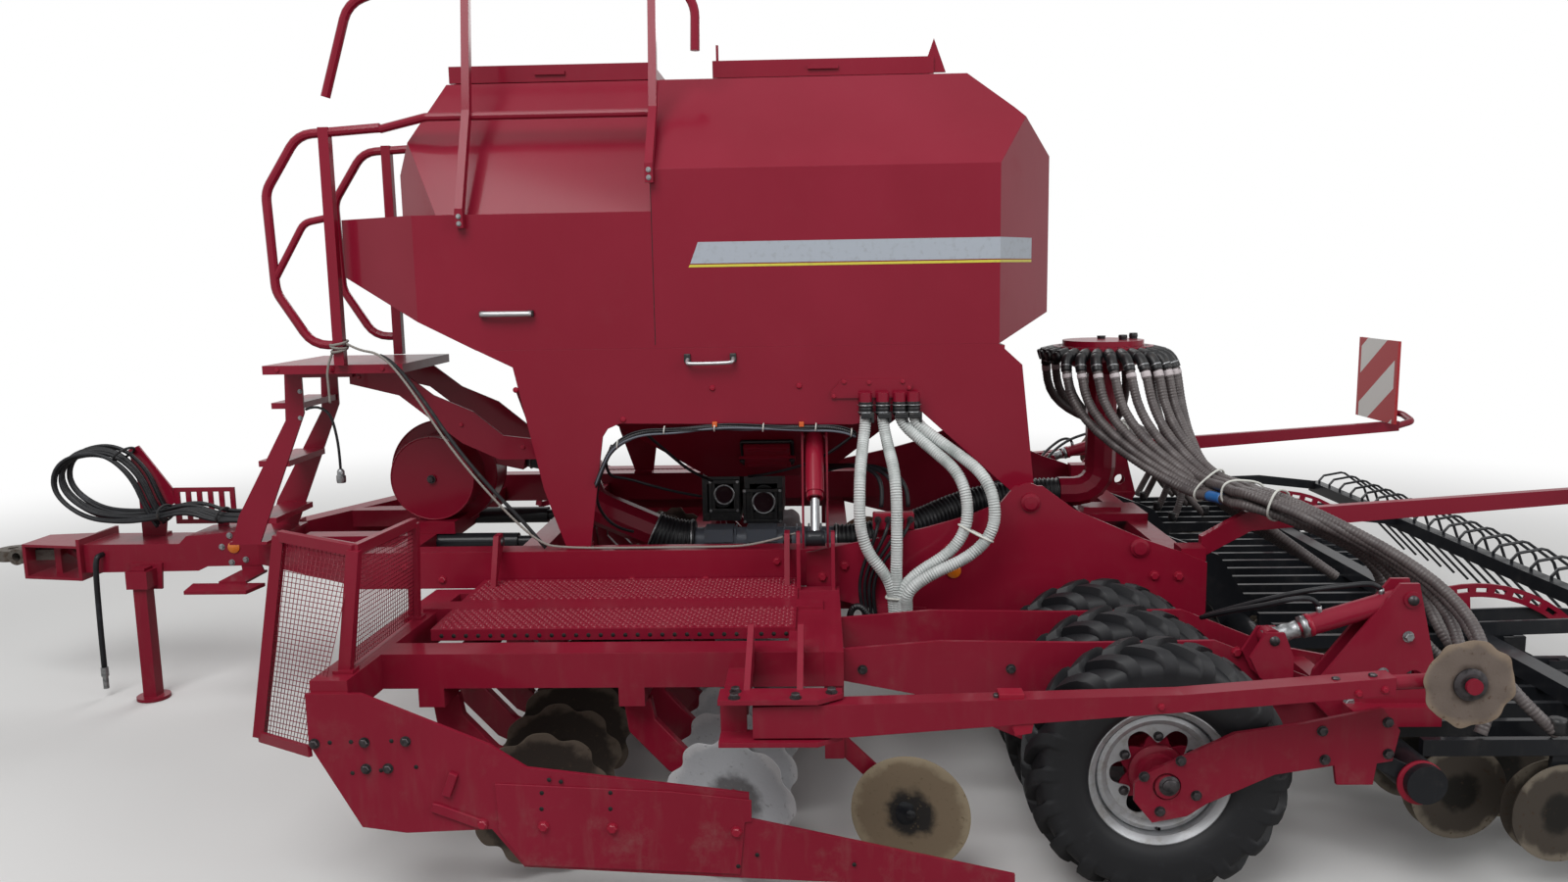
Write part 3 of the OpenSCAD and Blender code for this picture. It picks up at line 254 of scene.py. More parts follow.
def add_bevel(piece, width):
    """Rolled edge of the given width in millimetres."""
    bevel = piece.modifiers.new("edge", "BEVEL")
    bevel.width = width * mm
    bevel.segments = 2
    bevel.limit_method = "ANGLE"


# Materials

def linear(code):
    """Linear colour from an sRGB hex value."""
    s = np.array([int(code[k:k + 2], 16) / 255 for k in (1, 3, 5)])
    return (*np.where(s <= 0.04045, s / 12.92, ((s + 0.055) / 1.055) ** 2.4).tolist(), 1.0)


def add(tree, kind, sockets=None, **settings):
    """Adds a node with its settings; a socket takes a value or another node's output."""
    made = tree.nodes.new(kind)
    for key, value in settings.items():
        setattr(made, key, value)
    for key, value in (sockets or {}).items():
        if isinstance(value, bpy.types.NodeSocket):
            tree.links.new(value, made.inputs[key])
        else:
            made.inputs[key].default_value = value
    return made


def new_material(name, **values):
    """Material with its shader's fixed values; gives the tree and the shader."""
    made = bpy.data.materials.new(name)
    made.use_nodes = True
    shader = made.node_tree.nodes["Principled BSDF"]
    for key, value in values.items():
        shader.inputs[key.replace("_", " ")].default_value = value
    return made, made.node_tree, shader


def noise(tree, size, detail=3.0, place_in=None, roughness=0.55):
    """Noise whose blotches are about size millimetres wide."""
    where = place_in or add(tree, "ShaderNodeTexCoord").outputs["Object"]
    return add(tree, "ShaderNodeTexNoise", {"Vector": where, "Scale": 1000 / size, "Detail": detail,
                                            "Roughness": roughness}).outputs["Fac"]


def ramp(tree, value, low, high):
    """0 below low, 1 above high, smooth between."""
    return add(tree, "ShaderNodeMapRange", {"Value": value, "From Min": low, "From Max": high},
               interpolation_type="SMOOTHSTEP").outputs["Result"]


def mix(tree, factor, a, b):
    """Colour a where the factor is 0 and b where it is 1."""
    return add(tree, "ShaderNodeMix", {0: factor, 6: a, 7: b}, data_type="RGBA").outputs[2]


def times(tree, a, b):
    """Product of two values or outputs."""
    return add(tree, "ShaderNodeMath", {0: a, 1: b}, operation="MULTIPLY").outputs[0]


def low_down(tree, bottom, top):
    """1 near the ground, 0 above the top height in millimetres."""
    place_at = add(tree, "ShaderNodeTexCoord").outputs["Object"]
    height = add(tree, "ShaderNodeSeparateXYZ", {0: place_at}).outputs["Z"]
    return ramp(tree, height, top * mm, bottom * mm)


def bump(tree, shader, height, strength, distance):
    """Relief of the given depth in millimetres."""
    made = add(tree, "ShaderNodeBump", {"Height": height, "Strength": strength,
                                        "Distance": distance * mm})
    tree.links.new(made.outputs["Normal"], shader.inputs["Normal"])


def rolled_edge(tree, shader, height, strength, distance):
    """Relief over edges that are rounded by a small radius in millimetres, as cut and painted sheet has
    them."""
    rounded = add(tree, "ShaderNodeBevel", {"Radius": edge_radius * mm}, samples=4)
    made = add(tree, "ShaderNodeBump", {"Height": height, "Strength": strength, "Distance": distance * mm,
                                        "Normal": rounded.outputs[0]})
    tree.links.new(made.outputs["Normal"], shader.inputs["Normal"])


def enamel(name, code, faded, dust=0.35, gloss=0.33, film_code="#8A6E68"):
    """Machine enamel sprayed on steel: glossy, slightly uneven, with a thin film of field dust that grows
    thicker low down and runs down in streaks."""
    made, tree, shader = new_material(name, Coat_Weight=0.3, Coat_Roughness=0.12, Specular_IOR_Level=0.12)
    patches = ramp(tree, noise(tree, 620, 3), 0.3, 0.8)
    paint = mix(tree, patches, linear(code), linear(faded))
    where = add(tree, "ShaderNodeTexCoord").outputs["Object"]
    tall = add(tree, "ShaderNodeMapping", {"Vector": where, "Scale": (1, 1, 0.18)}).outputs["Vector"]
    streaks = ramp(tree, noise(tree, 34, 4, place_in=tall), 0.48, 0.85)
    film = ramp(tree, noise(tree, 130, 6, roughness=0.7), 0.5, 0.9)
    both = add(tree, "ShaderNodeMath", {0: times(tree, streaks, 0.35), 1: film}, operation="ADD",
               use_clamp=True).outputs[0]
    low = low_down(tree, 120, 900)
    amount = times(tree, both, add(tree, "ShaderNodeMath", {0: low, 1: dust, 2: dust * 0.18},
                                   operation="MULTIPLY_ADD").outputs[0])
    tree.links.new(mix(tree, amount, paint, linear(film_code)), shader.inputs["Base Color"])
    rough = add(tree, "ShaderNodeMapRange", {"Value": both, "To Min": gloss,
                                             "To Max": gloss + 0.2}).outputs["Result"]
    tree.links.new(rough, shader.inputs["Roughness"])
    rolled_edge(tree, shader, noise(tree, 5, 2), 0.05, 0.3)
    return made


def ringed_colours(tree, share, hub, ring, rim):
    """Colour of a soil-worn disc from the share of its radius: stained hub, scoured ring and bright
    cutting edge, with ragged borders."""
    ragged = times(tree, add(tree, "ShaderNodeMath", {0: noise(tree, 45, 5), 1: 0.5},
                             operation="SUBTRACT").outputs[0], 0.34)
    at = add(tree, "ShaderNodeMath", {0: share, 1: ragged}, operation="ADD").outputs[0]
    inner = mix(tree, ramp(tree, at, 0.3, 0.5), linear(hub), linear(ring))
    return mix(tree, ramp(tree, at, 0.8, 0.95), inner, linear(rim))


def worn_blade(name, hub, ring, rim, crumbs, roughness=0.6, metallic=0.25, relief=0.6):
    """Soil-worn blade whose own map gives the share of its radius, with crumbs of earth and fine
    scratches."""
    made, tree, shader = new_material(name, Roughness=roughness, Metallic=metallic,
                                      Specular_IOR_Level=0.3)
    share = add(tree, "ShaderNodeSeparateXYZ", {0: add(tree,
            "ShaderNodeTexCoord").outputs["UV"]}).outputs["X"]
    base = ringed_colours(tree, share, hub, ring, rim)
    spots = mix(tree, ramp(tree, noise(tree, 16, 5, roughness=0.65), 0.58, 0.74), base, linear(crumbs))
    tree.links.new(spots, shader.inputs["Base Color"])
    bump(tree, shader, noise(tree, 9, 5), relief, 0.9)
    return made


def opener_steel():
    """Double-disc openers: rings round each disc's own axle, worked out from the distance to the nearer
    row of axles."""
    made, tree, shader = new_material("opener disc steel", Roughness=0.5, Metallic=0.4,
                                      Specular_IOR_Level=0.35)
    spot = add(tree, "ShaderNodeTexCoord").outputs["Object"]
    flat = add(tree, "ShaderNodeVectorMath", {0: spot, 1: (1, 0, 1)}, operation="MULTIPLY").outputs[0]
    away = [add(tree, "ShaderNodeVectorMath", {0: flat, 1: ((x + axle_shift) * mm, 0, disc_z * mm)},
                operation="DISTANCE").outputs["Value"] for x in (-960, -1180)]
    near = add(tree, "ShaderNodeMath", {0: away[0], 1: away[1]}, operation="MINIMUM").outputs[0]
    share = times(tree, near, 1 / 0.15)
    base = ringed_colours(tree, share, "#24221F", "#4E4740", "#82796C")
    tree.links.new(mix(tree, ramp(tree, noise(tree, 20, 5), 0.6, 0.75), base, linear("#4A3A2E")),
                   shader.inputs["Base Color"])
    bump(tree, shader, noise(tree, 7, 4), 0.25, 0.5)
    return made


def tyre_rubber():
    """Carbon-black tread rubber, moulded: matt black, greyed by dust in the tread."""
    made, tree, shader = new_material("tyre rubber", Roughness=0.55, Specular_IOR_Level=0.45)
    dusty = mix(tree, ramp(tree, noise(tree, 60, 6, roughness=0.7), 0.55, 0.95), linear("#131418"),
                linear("#3A3A40"))
    tree.links.new(dusty, shader.inputs["Base Color"])
    bump(tree, shader, noise(tree, 3, 3), 0.2, 0.4)
    return made


def smooth_rubber(name, code, grey):
    """Extruded hose rubber: satin, with a little dust."""
    made, tree, shader = new_material(name, Roughness=0.48, Specular_IOR_Level=0.4)
    dusty = mix(tree, ramp(tree, noise(tree, 70, 5), 0.5, 0.85), linear(code), linear(grey))
    tree.links.new(dusty, shader.inputs["Base Color"])
    return made


def ringed_hose(name, code, shade, pitch):
    """Plastic spiral hose: rings across the hose, spaced along its length by its own UV map, with blotches
    of dirt and painted shade that darkens the grooves."""
    made, tree, shader = new_material(name, Roughness=0.42)
    along = add(tree, "ShaderNodeSeparateXYZ", {0: add(tree,
            "ShaderNodeTexCoord").outputs["UV"]}).outputs["Y"]
    wave = add(tree, "ShaderNodeMath", {0: times(tree, along, 2 * math.pi / (pitch * mm))},
               operation="SINE").outputs[0]
    dirt = ramp(tree, noise(tree, 80, 5), 0.4, 0.8)
    base = mix(tree, dirt, linear(code), linear(shade))
    # painted shade: the grooves between the rings are darkened towards the shade colour, which also
    # colours the dirt blotches
    groove_shade = times(tree, ramp(tree, wave, 0.0, -1.0), 0.55)
    tree.links.new(mix(tree, groove_shade, base, linear(shade)), shader.inputs["Base Color"])
    bump(tree, shader, wave, 0.5, 1.0)
    return made


def silver_lacquer():
    """Aluminium-pigment lacquer on a steel rim: pale, slightly metallic, dusty."""
    made, tree, shader = new_material("silver wheel lacquer", Metallic=0.45, Roughness=0.38)
    dusty = mix(tree, ramp(tree, noise(tree, 60, 6, roughness=0.7), 0.45, 0.8), linear("#B9BBBE"),
                linear("#8F8A84"))
    tree.links.new(dusty, shader.inputs["Base Color"])
    return made


def galvanised(name="zinc plating", code="#A8AAAC", shade="#7E8082", metallic=0.9):
    """Plated steel, faintly blotched."""
    made, tree, shader = new_material(name, Metallic=metallic, Roughness=0.38)
    blotch = mix(tree, ramp(tree, noise(tree, 18, 4), 0.4, 0.7), linear(code), linear(shade))
    tree.links.new(blotch, shader.inputs["Base Color"])
    return made


def polished_chrome():
    """Chromed ram rod, ground and polished."""
    made, _, shader = new_material("hard chrome", Metallic=1.0, Roughness=0.12)
    shader.inputs["Base Color"].default_value = linear("#C9CCD0")
    return made


def cast_iron():
    """Sand-cast eye, bare and weathered: rough, brown-grey."""
    made, tree, shader = new_material("grey cast iron", Metallic=0.5, Roughness=0.62)
    skin = mix(tree, ramp(tree, noise(tree, 25, 5), 0.4, 0.7), linear("#6B6660"), linear("#4A3B30"))
    tree.links.new(skin, shader.inputs["Base Color"])
    bump(tree, shader, noise(tree, 3, 4), 0.4, 0.6)
    return made


def striped_board():
    """Sign foil: slanting red and white stripes, 300 mm from one to the next upwards, worked out from the
    distance across and the height, with a red edge."""
    made, tree, shader = new_material("reflective board foil", Roughness=0.4)
    spot = add(tree, "ShaderNodeSeparateXYZ", {0: add(tree, "ShaderNodeTexCoord").outputs["Object"]})
    across = add(tree, "ShaderNodeMath", {0: spot.outputs["Y"]}, operation="ABSOLUTE").outputs[0]
    slant = add(tree, "ShaderNodeMath", {0: across, 1: 0.686, 2: spot.outputs["Z"]},
                operation="MULTIPLY_ADD").outputs[0]
    turns = add(tree, "ShaderNodeMath", {0: add(tree, "ShaderNodeMath", {0: slant, 1: 1.78},
                                                operation="SUBTRACT").outputs[0], 1: 1 / 0.3},
                                                operation="MULTIPLY").outputs[0]
    share = add(tree, "ShaderNodeMath", {0: turns}, operation="FRACT").outputs[0]
    white = add(tree, "ShaderNodeMath", {0: share, 1: 0.48}, operation="LESS_THAN").outputs[0]
    middle = add(tree, "ShaderNodeMath", {0: add(tree, "ShaderNodeMath", {0: across, 1: 0.97},
            operation="SUBTRACT").outputs[0]}, operation="ABSOLUTE").outputs[0]
    inside = add(tree, "ShaderNodeMath", {0: middle, 1: 0.182}, operation="LESS_THAN").outputs[0]
    tree.links.new(mix(tree, times(tree, white, inside), linear("#A8141F"), linear("#D6D4D0")),
                   shader.inputs["Base Color"])
    return made


def plain(name, code, roughness=0.5, **values):
    """Small moulded or painted part of one colour, with light handling marks."""
    made, tree, shader = new_material(name, **values)
    marks = mix(tree, times(tree, ramp(tree, noise(tree, 25, 5), 0.5, 0.8), 0.3), linear(code),
                linear("#6A625A"))
    tree.links.new(marks, shader.inputs["Base Color"])
    rough = add(tree, "ShaderNodeMapRange", {"Value": noise(tree, 30, 4), "To Min": roughness * 0.8,
                                             "To Max": min(1, roughness * 1.3)}).outputs["Result"]
    tree.links.new(rough, shader.inputs["Roughness"])
    return made


red_enamel = enamel("red enamel", "#86132B", "#8E1A32", dust=0.2, gloss=0.3)
worn_red = enamel("red enamel near the soil", "#84162C", "#8E1D34", dust=0.5, gloss=0.38)
bright_red = enamel("red enamel, fresh", "#95172F", "#9C1E36", dust=0.12, gloss=0.3)
black_enamel = enamel("black enamel", "#1A1C20", "#24262A", dust=0.6, gloss=0.38, film_code="#4E4A48")
clay = worn_blade("clay on steel", "#6E6E70", "#BCC0C4", "#D2D4D6", "#8E9092", roughness=0.8,
                  metallic=0.0, relief=0.9)
dark_blade = worn_blade("worn harrow steel", "#231F1D", "#3E3732", "#6E6358", "#57493D")
pale_blade = worn_blade("edge disc steel", "#2F2D2C", "#8B7B66", "#A69880", "#75664F", relief=0.35)
marker_steel = worn_blade("marker disc steel", "#3E322C", "#746860", "#8C7C6C", "#5A463A", relief=0.8)
openers = opener_steel()
rubber = tyre_rubber()
hose_rubber = smooth_rubber("black hose rubber", "#141519", "#2E3036")
grey_hose = ringed_hose("grey spiral hose", "#67605F", "#463F40", 12)
white_hose = ringed_hose("white spiral hose", "#D3D7D6", "#9AA29F", 10)
black_hose = ringed_hose("black spiral hose", "#202226", "#101114", 22)
loom_hose = ringed_hose("split loom tube", "#17181B", "#0B0B0D", 8)
rim_silver = silver_lacquer()
zinc = galvanised()
dark_bolt = galvanised("phosphated bolt", "#4A4648", "#2C2A2C", 0.6)
chrome = polished_chrome()
iron = cast_iron()
board_foil = striped_board()
black_plastic = plain("black moulded plastic", "#141518", 0.42)
grey_plastic = plain("grey moulded plastic", "#5C626C", 0.45)
pale_label = plain("blank hose label", "#CFC6C8", 0.5)
white_nylon = plain("white nylon tie", "#DADBD4", 0.4)
blue_tape = plain("blue tape", "#2F6FB4", 0.35)
orange_lens = plain("orange reflector", "#E0791C", 0.2, Coat_Weight=0.6)
pane = plain("tinted sight glass", "#3A2A30", 0.08, Coat_Weight=0.5)
orange_clip = plain("orange connector", "#D9642A", 0.4)
silver_foil = plain("silver stripe foil", "#AEB6C0", 0.34)
yellow_foil = plain("yellow line foil", "#D9CF4A", 0.35)
light_metal = plain("bright handle", "#B8BABC", 0.3, Metallic=0.7)
# painted shade: near-black finish of the discs drawn in holes; it also colours the side wall's real dark
# seam
hole_shade_and_seam = plain("painted hole shade and dark seam", "#0C0A0B", 0.8)
rope_fibre = plain("grey rope", "#8F8A84", 0.8)
strap_web = plain("black webbing", "#1A1B1E", 0.7)


# Tyres and wheels

def tyre_arrays(y):
    """Tractor tyre: a section profile carried round the axle on a grid sheared so that its lines follow
    the lugs. A lug stands out over part of each pitch, half a pitch later on the other side, and its end
    turns down over the shoulder."""
    lugs = 20
    steps = np.array([0, 0.045, 0.1, 0.2, 0.3, 0.355, 0.4, 0.45, 0.5, 0.545, 0.6, 0.7, 0.8, 0.855, 0.9,
                      0.95])
    share = (np.arange(lugs)[:, None] + steps[None, :]).ravel()
    half = np.array([[3, 361, 26, 1], [14, 362, 27, 1], [32, 361, 27.5, 1], [52, 359, 28, 1],
                     [70, 355, 28, 1], [84, 348, 26, 0.85], [92, 340, 20, 0.6],
                     [96.5, 328, 12, 0.25], [98, 318, 3, 0], [99, 300, 0, 0], [100, 270, 0, 0],
                     [97, 240, 0, 0], [84, 212, 0, 0], [70, 206, 0, 0]])
    across, radius, height, up = np.concatenate([half[::-1] * (-1, 1, 1, 1), half]).T
    sweep = np.clip(np.abs(across) / 100, 0, 0.92) ** 0.9
    phase = (share[:, None] + np.where(across < 0, 0.5, 0.0)[None, :]) % 1.0
    flank, lug_end = 0.045, 0.445
    lug = np.clip(np.minimum(phase / flank, (lug_end - phase) / flank), 0, 1)
    reach = height[None, :] * lug * np.where(np.abs(across) < 5, 0.55, 1.0)[None, :]
    turn = (share[:, None] + sweep[None, :]) * 2 * np.pi / lugs
    r = radius[None, :] + reach * up[None, :]
    ring = 1.6 * np.sin(radius * 0.42) * ((radius < 318) & (radius > 222))
    bulge = reach * (1 - up)[None, :] * 0.45 - np.abs(ring)[None, :]
    side = across[None, :] + np.sign(across)[None, :] * bulge
    points = np.stack([r * np.cos(turn), y + side, tyre_d / 2 + r * np.sin(turn)], -1)
    return points.reshape(-1, 3), quads(len(share), len(across), close_rows=True, close_columns=True)


def ring_plate(inner, outer, back, front, turns):
    """Flat ring with edges that may wave: inner and outer radius at each turn, between two places along
    the axle."""
    loops = [(inner, back), (outer, back), (outer, front), (inner, front)]
    points = np.stack([np.stack([r * np.cos(turns), r * np.sin(turns), np.full_like(turns, z)], -1)
                       for r, z in loops], 1)
    return points.reshape(-1, 3), quads(len(turns), 4, close_rows=True, close_columns=True)[:, ::-1]


def on_axle(arrays, y, flip=1):
    """Turns arrays drawn round Z so that their axis lies along Y at the packer axle; flip -1 shows the
    other face."""
    v, f = arrays[0], np.asarray(arrays[1])
    points = np.stack([v[:, 0], y + flip * v[:, 2], tyre_d / 2 + v[:, 1]], -1)
    return points, (f if flip < 0 else f[:, ::-1])


def wheel_sets(name, rows, axle_ends, body, side):
    """Rims as pressed dishes with a lobed inner edge, bolted to a red hub plate with round notches, on
    the packer axle."""
    turns = np.linspace(0, 2 * np.pi, 144, endpoint=False)
    notch = (1 + np.cos(turns * 6)) / 2
    barrel = turned_arrays([(188, -72), (205, -80), (212, -80), (206, -66), (204, -20), (200, 20),
                            (204, 66), (212, 80), (207, 82), (201, 78), (188, 66),
                            (182, 30), (186, -40), (188, -72)], 72)
    dish_edge = turned_arrays([(184, 34), (178, 50), (166, 54), (154, 48), (146, 38), (168, 44),
                               (182, 28), (184, 34)], 72)
    dish = ring_plate(140 - 48 * (1 - notch) ** 1.6, np.full_like(turns, 154), 36, 42, turns)
    plate = ring_plate(np.full_like(turns, 30), 120 - 34 * notch ** 1.6, 27, 35, turns)
    hub = turned_arrays([(0, -60), (78, -60), (84, -20), (84, 42), (76, 48), (62, 50), (58, 66), (40, 70),
                         (0, 70)], 40)
    at = turns[12::24]
    bolts = np.stack([np.cos(at) * 112, np.sin(at) * 112, np.full(6, 42.0)], -1)
    stem = [[0, -172, 46], [0, -166, 66], [0, -160, 78]]
    heads = [repeat_arrays(*turned_arrays([(0, 0), (15, 0), (15, 3), (11, 3), (11, 13), (8, 15), (0, 15)],
                                          12), bolts, [[0, 0, 1]] * 6)]
    silver = [on_axle(a, y, side) for y in rows for a in (barrel, dish_edge, dish)]
    red = [on_axle(a, y, side) for y in rows for a in (plate, hub)]
    steel = [on_axle(a, y, side) for y in rows for a in heads]
    valve = tube_arrays(np.array(stem, float), 5.0, 8)
    steel += [on_axle((valve[0], [f for f in valve[1] if len(f) == 4]), y, side) for y in rows]
    axle = turned_arrays([(0, axle_ends[0]), (35, axle_ends[0]), (35, axle_ends[1]), (0, axle_ends[1])],
                         32)
    red.append(on_axle(axle, 0, side))
    made = []
    for label, parts, finish in (("rims", silver, rim_silver), ("hubs", red, worn_red),
                                 ("wheel_bolts", steel, dark_bolt)):
        vertices, faces, _ = merge([(v, f) for v, f in parts])
        piece = new_object(f"{name}_{label}_finished", place(vertices), faces, finish)
        shade_edges(piece)
        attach(piece, body)
        made.append(piece)
    return made


def shade_edges(piece, degrees=35):
    """Smooth shading that stops at sharp edges."""
    mesh = piece.data
    mesh.polygons.foreach_set("use_smooth", [True] * len(mesh.polygons))
    mesh.set_sharp_from_angle(angle=math.radians(degrees))


def dress_packers():
    """Every tyre and rim of the packer."""
    centre = [k * tyre_pitch for k in (-2.5, -1.5, -0.5, 0.5, 1.5, 2.5)]
    wing, wing_ends = [1155, 1485, 1815], (1030, outer_y - 20)
    for name, rows, ends, body, side in (("centre", centre, (-990, 990), "centre_packer", 1),
                                         ("left", wing, wing_ends, "left_packer", 1),
                                         ("right", [-y for y in wing], wing_ends, "right_packer", -1)):
        vertices, faces, _ = merge([tyre_arrays(y) for y in rows])
        tyres = new_object(f"{name}_tyres_finished", place(vertices), faces, rubber)
        shade_edges(tyres, 50)
        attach(tyres, body)
        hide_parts(f"{name}_tyres")
        rims = wheel_sets(name, rows, ends, body, side)
        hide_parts(f"{name}_rims")


# Harrow blades

def turned_about(axis, degrees):
    """Rotation matrix about X, Y or Z."""
    return np.array(Matrix.Rotation(math.radians(degrees), 3, axis))


def blade_arrays(spot, lean, lift=blade_lift, side=1, radius=disc_d / 2, hollow=dish, notches=9,
                 thick=5.0):
    """Dished blade with round notches cut out of its edge: each notch is an arc about a centre just
    outside the edge, and work in the soil has rounded the teeth between them. Its map holds the share of
    the radius and the turn."""
    turn = np.linspace(0, 2 * np.pi, max(notches, 4) * 18, endpoint=False)
    edge = np.full_like(turn, radius)
    if notches:
        step = 2 * np.pi / notches
        phi = (turn + step / 2) % step - step / 2
        away = radius + notch_out
        inside = notch_radius ** 2 - (away * np.sin(phi)) ** 2
        arc = away * np.cos(phi) - np.sqrt(np.maximum(inside, 0))
        edge = np.where(inside > 0, np.minimum(radius, arc), radius)
        worn = np.exp(-0.5 * (np.minimum(turn, 2 * np.pi - turn) / math.radians(4.2)) ** 2)
        edge = np.real(np.fft.ifft(np.fft.fft(edge) * np.fft.fft(worn / worn.sum())))
        edge += radius - edge.max()
    share = np.array([0.05, 0.2, 0.35, 0.5, 0.65, 0.8, 0.9, 0.96, 1, 1, 0.96, 0.9, 0.8, 0.65, 0.5, 0.35,
                      0.2, 0.05])
    front = np.array([thick] * 7 + [thick * 0.95, thick * 0.7, thick * 0.3, thick * 0.05] + [0.0] * 7)
    r = share[:, None] * edge[None, :]
    local = np.stack([r * np.cos(turn), r * np.sin(turn), front[:, None] - hollow * r * r],
                     -1).reshape(-1, 3)
    spin = turned_about("Z", lean) @ turned_about("Y", lift) @ turned_about("X", 90)
    points = local @ spin.T + np.asarray(spot, float)
    uv = np.stack([(r / radius).ravel(), np.broadcast_to(turn / (2 * np.pi), r.shape).ravel()], -1)
    faces = quads(len(share), len(turn), close_columns=True)
    return points * (1, side, 1), (faces if side > 0 else faces[:, ::-1]), uv


def blade_hub(spot, lean, side=1):
    """Bearing hub behind a blade with its pin, and four bolt heads with a cap on the blade's hollow
    side."""
    spin = turned_about("Z", lean) @ turned_about("Y", blade_lift) @ turned_about("X", 90)
    hub = turned_arrays([(0, 2), (44, 2), (46, 8), (46, 40), (40, 50), (26, 53), (14, 53),
                         (14, 74), (0, 74)], 28)
    cap = turned_arrays([(0, -9), (18, -8), (30, -4), (34, 2), (0, 2)], 24)
    heads = repeat_arrays(*turned_arrays([(0, -9), (9, -9), (10, -7), (10, 4), (0, 4)], 6),
                          [(r * 24, q * 24, -1) for r, q in ((1, 0), (0, 1), (-1, 0), (0, -1))],
                          [(0, 0, 1)] * 4)
    parts = []
    for v, f in (hub, cap, heads):
        points = (v @ spin.T + np.asarray(spot, float)) * (1, side, 1)
        parts.append((points, f if side > 0 else np.asarray(f)[:, ::-1]))
    return parts


def plate_arrays(outline, y0, y1):
    """Plate cut from an outline in X and Z between two distances from the centre plane, as arrays."""
    o = np.asarray(outline, float)
    area = np.sum(o[:, 0] * np.roll(o[:, 1], -1) - np.roll(o[:, 0], -1) * o[:, 1])
    if area < 0:
        o = o[::-1]
    low, high = min(y0, y1), max(y0, y1)
    n = len(o)
    vertices = np.concatenate([np.stack([o[:, 0], np.full(n, low), o[:, 1]], 1),
                               np.stack([o[:, 0], np.full(n, high), o[:, 1]], 1)])
    return vertices, [list(range(n)), list(range(2 * n - 1, n - 1, -1))] + [[(k + 1) % n, k, k + n,
            (k + 1) % n + n] for k in range(n)]


def flat_plates(name, cuts, material, body, bevel=1.5):
    """Joined plates; each cut holds an outline and two distances from the centre plane."""
    vertices, faces, _ = merge([plate_arrays(*cut) for cut in cuts])
    piece = new_object(name, place(vertices), faces, material, smooth=False)
    add_bevel(piece, bevel)
    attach(piece, body)
    return piece


def sprung_arm(x, y, top, side=1):
    """Cut of one blade's sprung arm, from its hub up to the cross tube."""
    z = disc_z
    outline = [(x - 34, z - 22), (x + 20, z - 34), (x + 215, z + 60), (x + 335, z + 190), (x + 350, top),
               (x + 262, top), (x + 250, z + 230), (x + 150, z + 120), (x - 20, z + 34)]
    return outline, side * (y - 110), side * (y - 74)


centre_disc_y = [155 + 245 * k for k in range(-4, 4)]
disc_rows = ((1880, 18, 0), (1260, -18, 40))
wing_disc_y = (1225, 1470, 1715)


def two_row_piece(name, parts, looks, body, node):
    """Blades of several finishes as one piece; each part holds its arrays and the number of its
    finish."""
    vertices, faces, uv = merge([p[:3] for p in parts])
    piece = new_object(name, place(vertices), faces, looks[0], uv)
    for look in looks[1:]:
        piece.data.materials.append(look)
    piece.data.polygons.foreach_set("material_index", np.concatenate([np.full(len(p[1]),
            p[3]) for p in parts]).astype(np.int32))
    shade_edges(piece, 40)
    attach(piece, body)
    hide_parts(node)
    return piece


def no_map(arrays, number):
    """Adds a plain map and the number of a finish to arrays."""
    v, f = arrays
    return v, f, np.full((len(v), 2), 0.1), number


def harrow_blades():
    """Two rows of notched blades under the frame and each wing, and the plain disc at each wing's
    edge."""
    parts = []
    for row, (x, lean, shift) in enumerate(disc_rows):
        for y in centre_disc_y:
            spot = (x, y + shift / 2, disc_z)
            parts.append((*blade_arrays(spot, lean), row))
            parts += [no_map(a, 2) for a in blade_hub(spot, lean)]
    two_row_piece("centre_blades", parts, (dark_blade, clay, worn_red), "chassis", "centre_discs")
    arms = [sprung_arm(x, y + shift / 2, 590 - seat)
            for x, lean, shift in disc_rows for y in centre_disc_y]
    flat_plates("centre_blade_arms", arms, worn_red, "chassis", 4)
    for name, side in (("left", 1), ("right", -1)):
        parts = []
        for row, (x, lean, shift) in enumerate(disc_rows):
            for y in wing_disc_y:
                spot = (x, y + shift, disc_z)
                parts.append((*blade_arrays(spot, lean, side=side), row))
                parts += [no_map(a, 2) for a in blade_hub(spot, lean, side=side)]
        parts.append((*blade_arrays((720, 1763, 215), -12, 6, side, radius=185, hollow=0.00008, notches=0,
                                    thick=6.0), 3))
        for outline in ([(0, -27), (45, -27), (45, 20), (30, 27), (0, 27)],
                        [(0, 26), (16, 26), (16, 36), (10, 40), (0, 40)]):
            v, f = turned_arrays(outline, 32)
            points = np.stack([720 + v[:, 0], (1738 + v[:, 2]) * side, 215 + v[:, 1]], -1)
            parts.append(no_map((points, f[:, ::-1] if side > 0 else f), 4))
        two_row_piece(f"{name}_blades", parts, (dark_blade, clay, worn_red, pale_blade, black_enamel),
                      f"{name}_wing", f"{name}_discs")
        arms = [sprung_arm(x, y + shift, wing_top - 170 - seat, side)
                for x, lean, shift in disc_rows for y in wing_disc_y]
        flat_plates(f"{name}_blade_arms", arms, worn_red, f"{name}_wing", 4)


